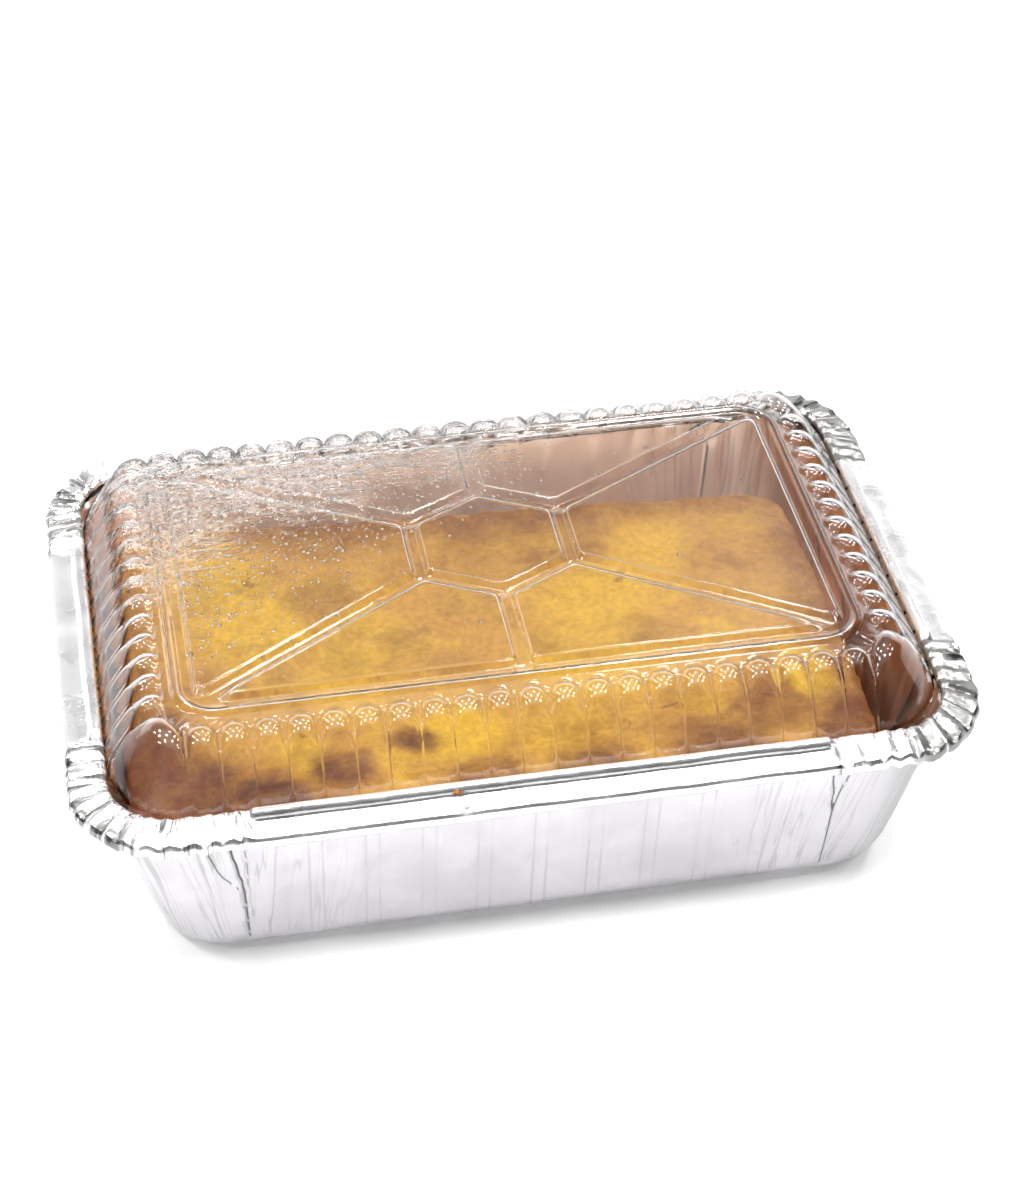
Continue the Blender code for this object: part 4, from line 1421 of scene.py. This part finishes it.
CAMERA_PLACE = (-0.088535, -0.533060, 0.472016)
CAMERA_TURN = (51.9948, 0.3335, -10.1998)
CAMERA_LENS = 83.03
LAMP_COLUMNS = (-1.95, -0.75, 0.45, 1.65)
LAMP_ROWS = (-0.65, 0.20, 1.05)
LAMP_HEIGHT = 1.9
LAMP_STAGGER = 0.55
# What the room gives where it is mirrored: all round, low at the back, and overhead
ROOM_GLOW = 0.40
BACK_GLOW = 1.9
CEILING_GLOW = 0.75
# Unlit quarters of the room: their way from the table, the cosines where one is full and where it
# ends, and how much light it still gives
DARK_QUARTERS = (
    ((0.85, 0.10, 0.50), 0.90, 0.78, 0.25),
    ((-0.92, 0.00, 0.35), 0.93, 0.80, 0.22),
    ((-0.05, -0.93, 0.30), 0.90, 0.70, 0.28),
)


class CORN_OT_stage(bpy.types.Operator):
    """Lay the white table, hang the lamps and set the camera"""
    bl_idname = "corn.stage"
    bl_label = "Stage"

    def execute(self, context):
        scene = context.scene
        stage = scene.corn_stage
        self.lay_table(stage)
        self.hang_lamps(stage)
        self.light_room(scene, stage)
        self.set_camera(scene)
        return {"FINISHED"}

    def lay_table(self, stage):
        deselect_all()
        bpy.ops.mesh.primitive_grid_add(x_subdivisions=24, y_subdivisions=24, size=stage.floor_size)
        table = bpy.context.object
        table.name = "white_table"
        table.data.materials.append(floor_material())

    def hang_lamps(self, stage):
        for row, y in enumerate(LAMP_ROWS):
            for column, x in enumerate(LAMP_COLUMNS):
                stagger = LAMP_STAGGER if row % 2 else 0.0
                lamp = bpy.data.lights.new(f"ceiling_{row}_{column}", "POINT")
                lamp.energy = stage.lamp_power
                lamp.shadow_soft_size = stage.lamp_radius
                hung = bpy.data.objects.new(lamp.name, lamp)
                hung.location = (x + stagger, y, LAMP_HEIGHT)
                bpy.context.collection.objects.link(hung)

    def light_room(self, scene, stage):
        world = bpy.data.worlds.new("studio")
        world.use_nodes = True
        graph = Graph(world.node_tree)
        background = graph.nodes["Background"]
        way = graph.add("ShaderNodeTexCoord").outputs["Generated"]
        axes = graph.split(way)
        height = axes["Z"]
        behind = graph.ranged(axes["Y"], 0.50, 0.72)
        glow = graph.maths("MULTIPLY", behind, graph.ranged(height, 0.36, 0.51, BACK_GLOW, 0.0))
        horizon = graph.maths("ADD", glow, ROOM_GLOW)
        ceiling = graph.ranged(height, 0.70, 0.88, 0.0, CEILING_GLOW)
        strength = graph.maths("ADD", horizon, ceiling)
        for dark_way, full, gone, left_over in DARK_QUARTERS:
            facing = graph.vectors("DOT_PRODUCT", way, Vector(dark_way).normalized(), output="Value")
            kept = graph.ranged(facing, gone, full, 1.0, left_over)
            strength = graph.maths("MULTIPLY", strength, kept)
        strength = graph.maths("MULTIPLY", strength, stage.sky)
        graph.link(strength, background.inputs["Strength"])
        background.inputs["Color"].default_value = (1.0, 1.0, 1.0, 1.0)
        # The lamps alone light what isn't shiny
        world.cycles_visibility.diffuse = False
        scene.world = world
        scene.view_settings.view_transform = "Standard"
        scene.view_settings.exposure = stage.exposure

    def set_camera(self, scene):
        lens = bpy.data.cameras.new("camera")
        lens.lens = CAMERA_LENS
        lens.clip_start = 0.01
        camera = bpy.data.objects.new("camera", lens)
        camera.location = CAMERA_PLACE
        camera.rotation_euler = [math.radians(turn) for turn in CAMERA_TURN]
        bpy.context.collection.objects.link(camera)
        scene.camera = camera


class CORN_PT_panel(bpy.types.Panel):
    """Corn cake pack: its looks and the buttons that make it"""
    bl_idname = "CORN_PT_panel"
    bl_label = "Corn Cake Pack"
    bl_space_type = "VIEW_3D"
    bl_region_type = "UI"
    bl_category = "Corn Cake"

    def draw(self, context):
        layout = self.layout
        for name, kind, steps in SECTIONS:
            box = layout.box()
            for prop in kind.__annotations__:
                box.prop(getattr(context.scene, name), prop)
            for step in steps:
                box.operator(step.bl_idname)


SECTIONS = (
    ("corn_tray", TrayLook, (CORN_OT_tray,)),
    ("corn_cake", CakeLook, (CORN_OT_cake,)),
    ("corn_lid", LidLook, (CORN_OT_lid,)),
    ("corn_wet", WetLook, (CORN_OT_droplets, CORN_OT_crumbs)),
    ("corn_stage", StageLook, (CORN_OT_stage,)),
)


def register():
    for name, kind, steps in SECTIONS:
        bpy.utils.register_class(kind)
        setattr(bpy.types.Scene, name, bpy.props.PointerProperty(type=kind))
        for step in steps:
            bpy.utils.register_class(step)
    bpy.utils.register_class(CORN_PT_panel)


def unregister():
    bpy.utils.unregister_class(CORN_PT_panel)
    for name, kind, steps in reversed(SECTIONS):
        for step in reversed(steps):
            bpy.utils.unregister_class(step)
        delattr(bpy.types.Scene, name)
        bpy.utils.unregister_class(kind)


def main():
    register()
    bpy.ops.corn.tray()
    bpy.ops.corn.cake()
    bpy.ops.corn.lid()
    bpy.ops.corn.droplets()
    bpy.ops.corn.crumbs()
    bpy.ops.corn.stage()
    bpy.context.view_layer.update()


if __name__ == "__main__":
    main()
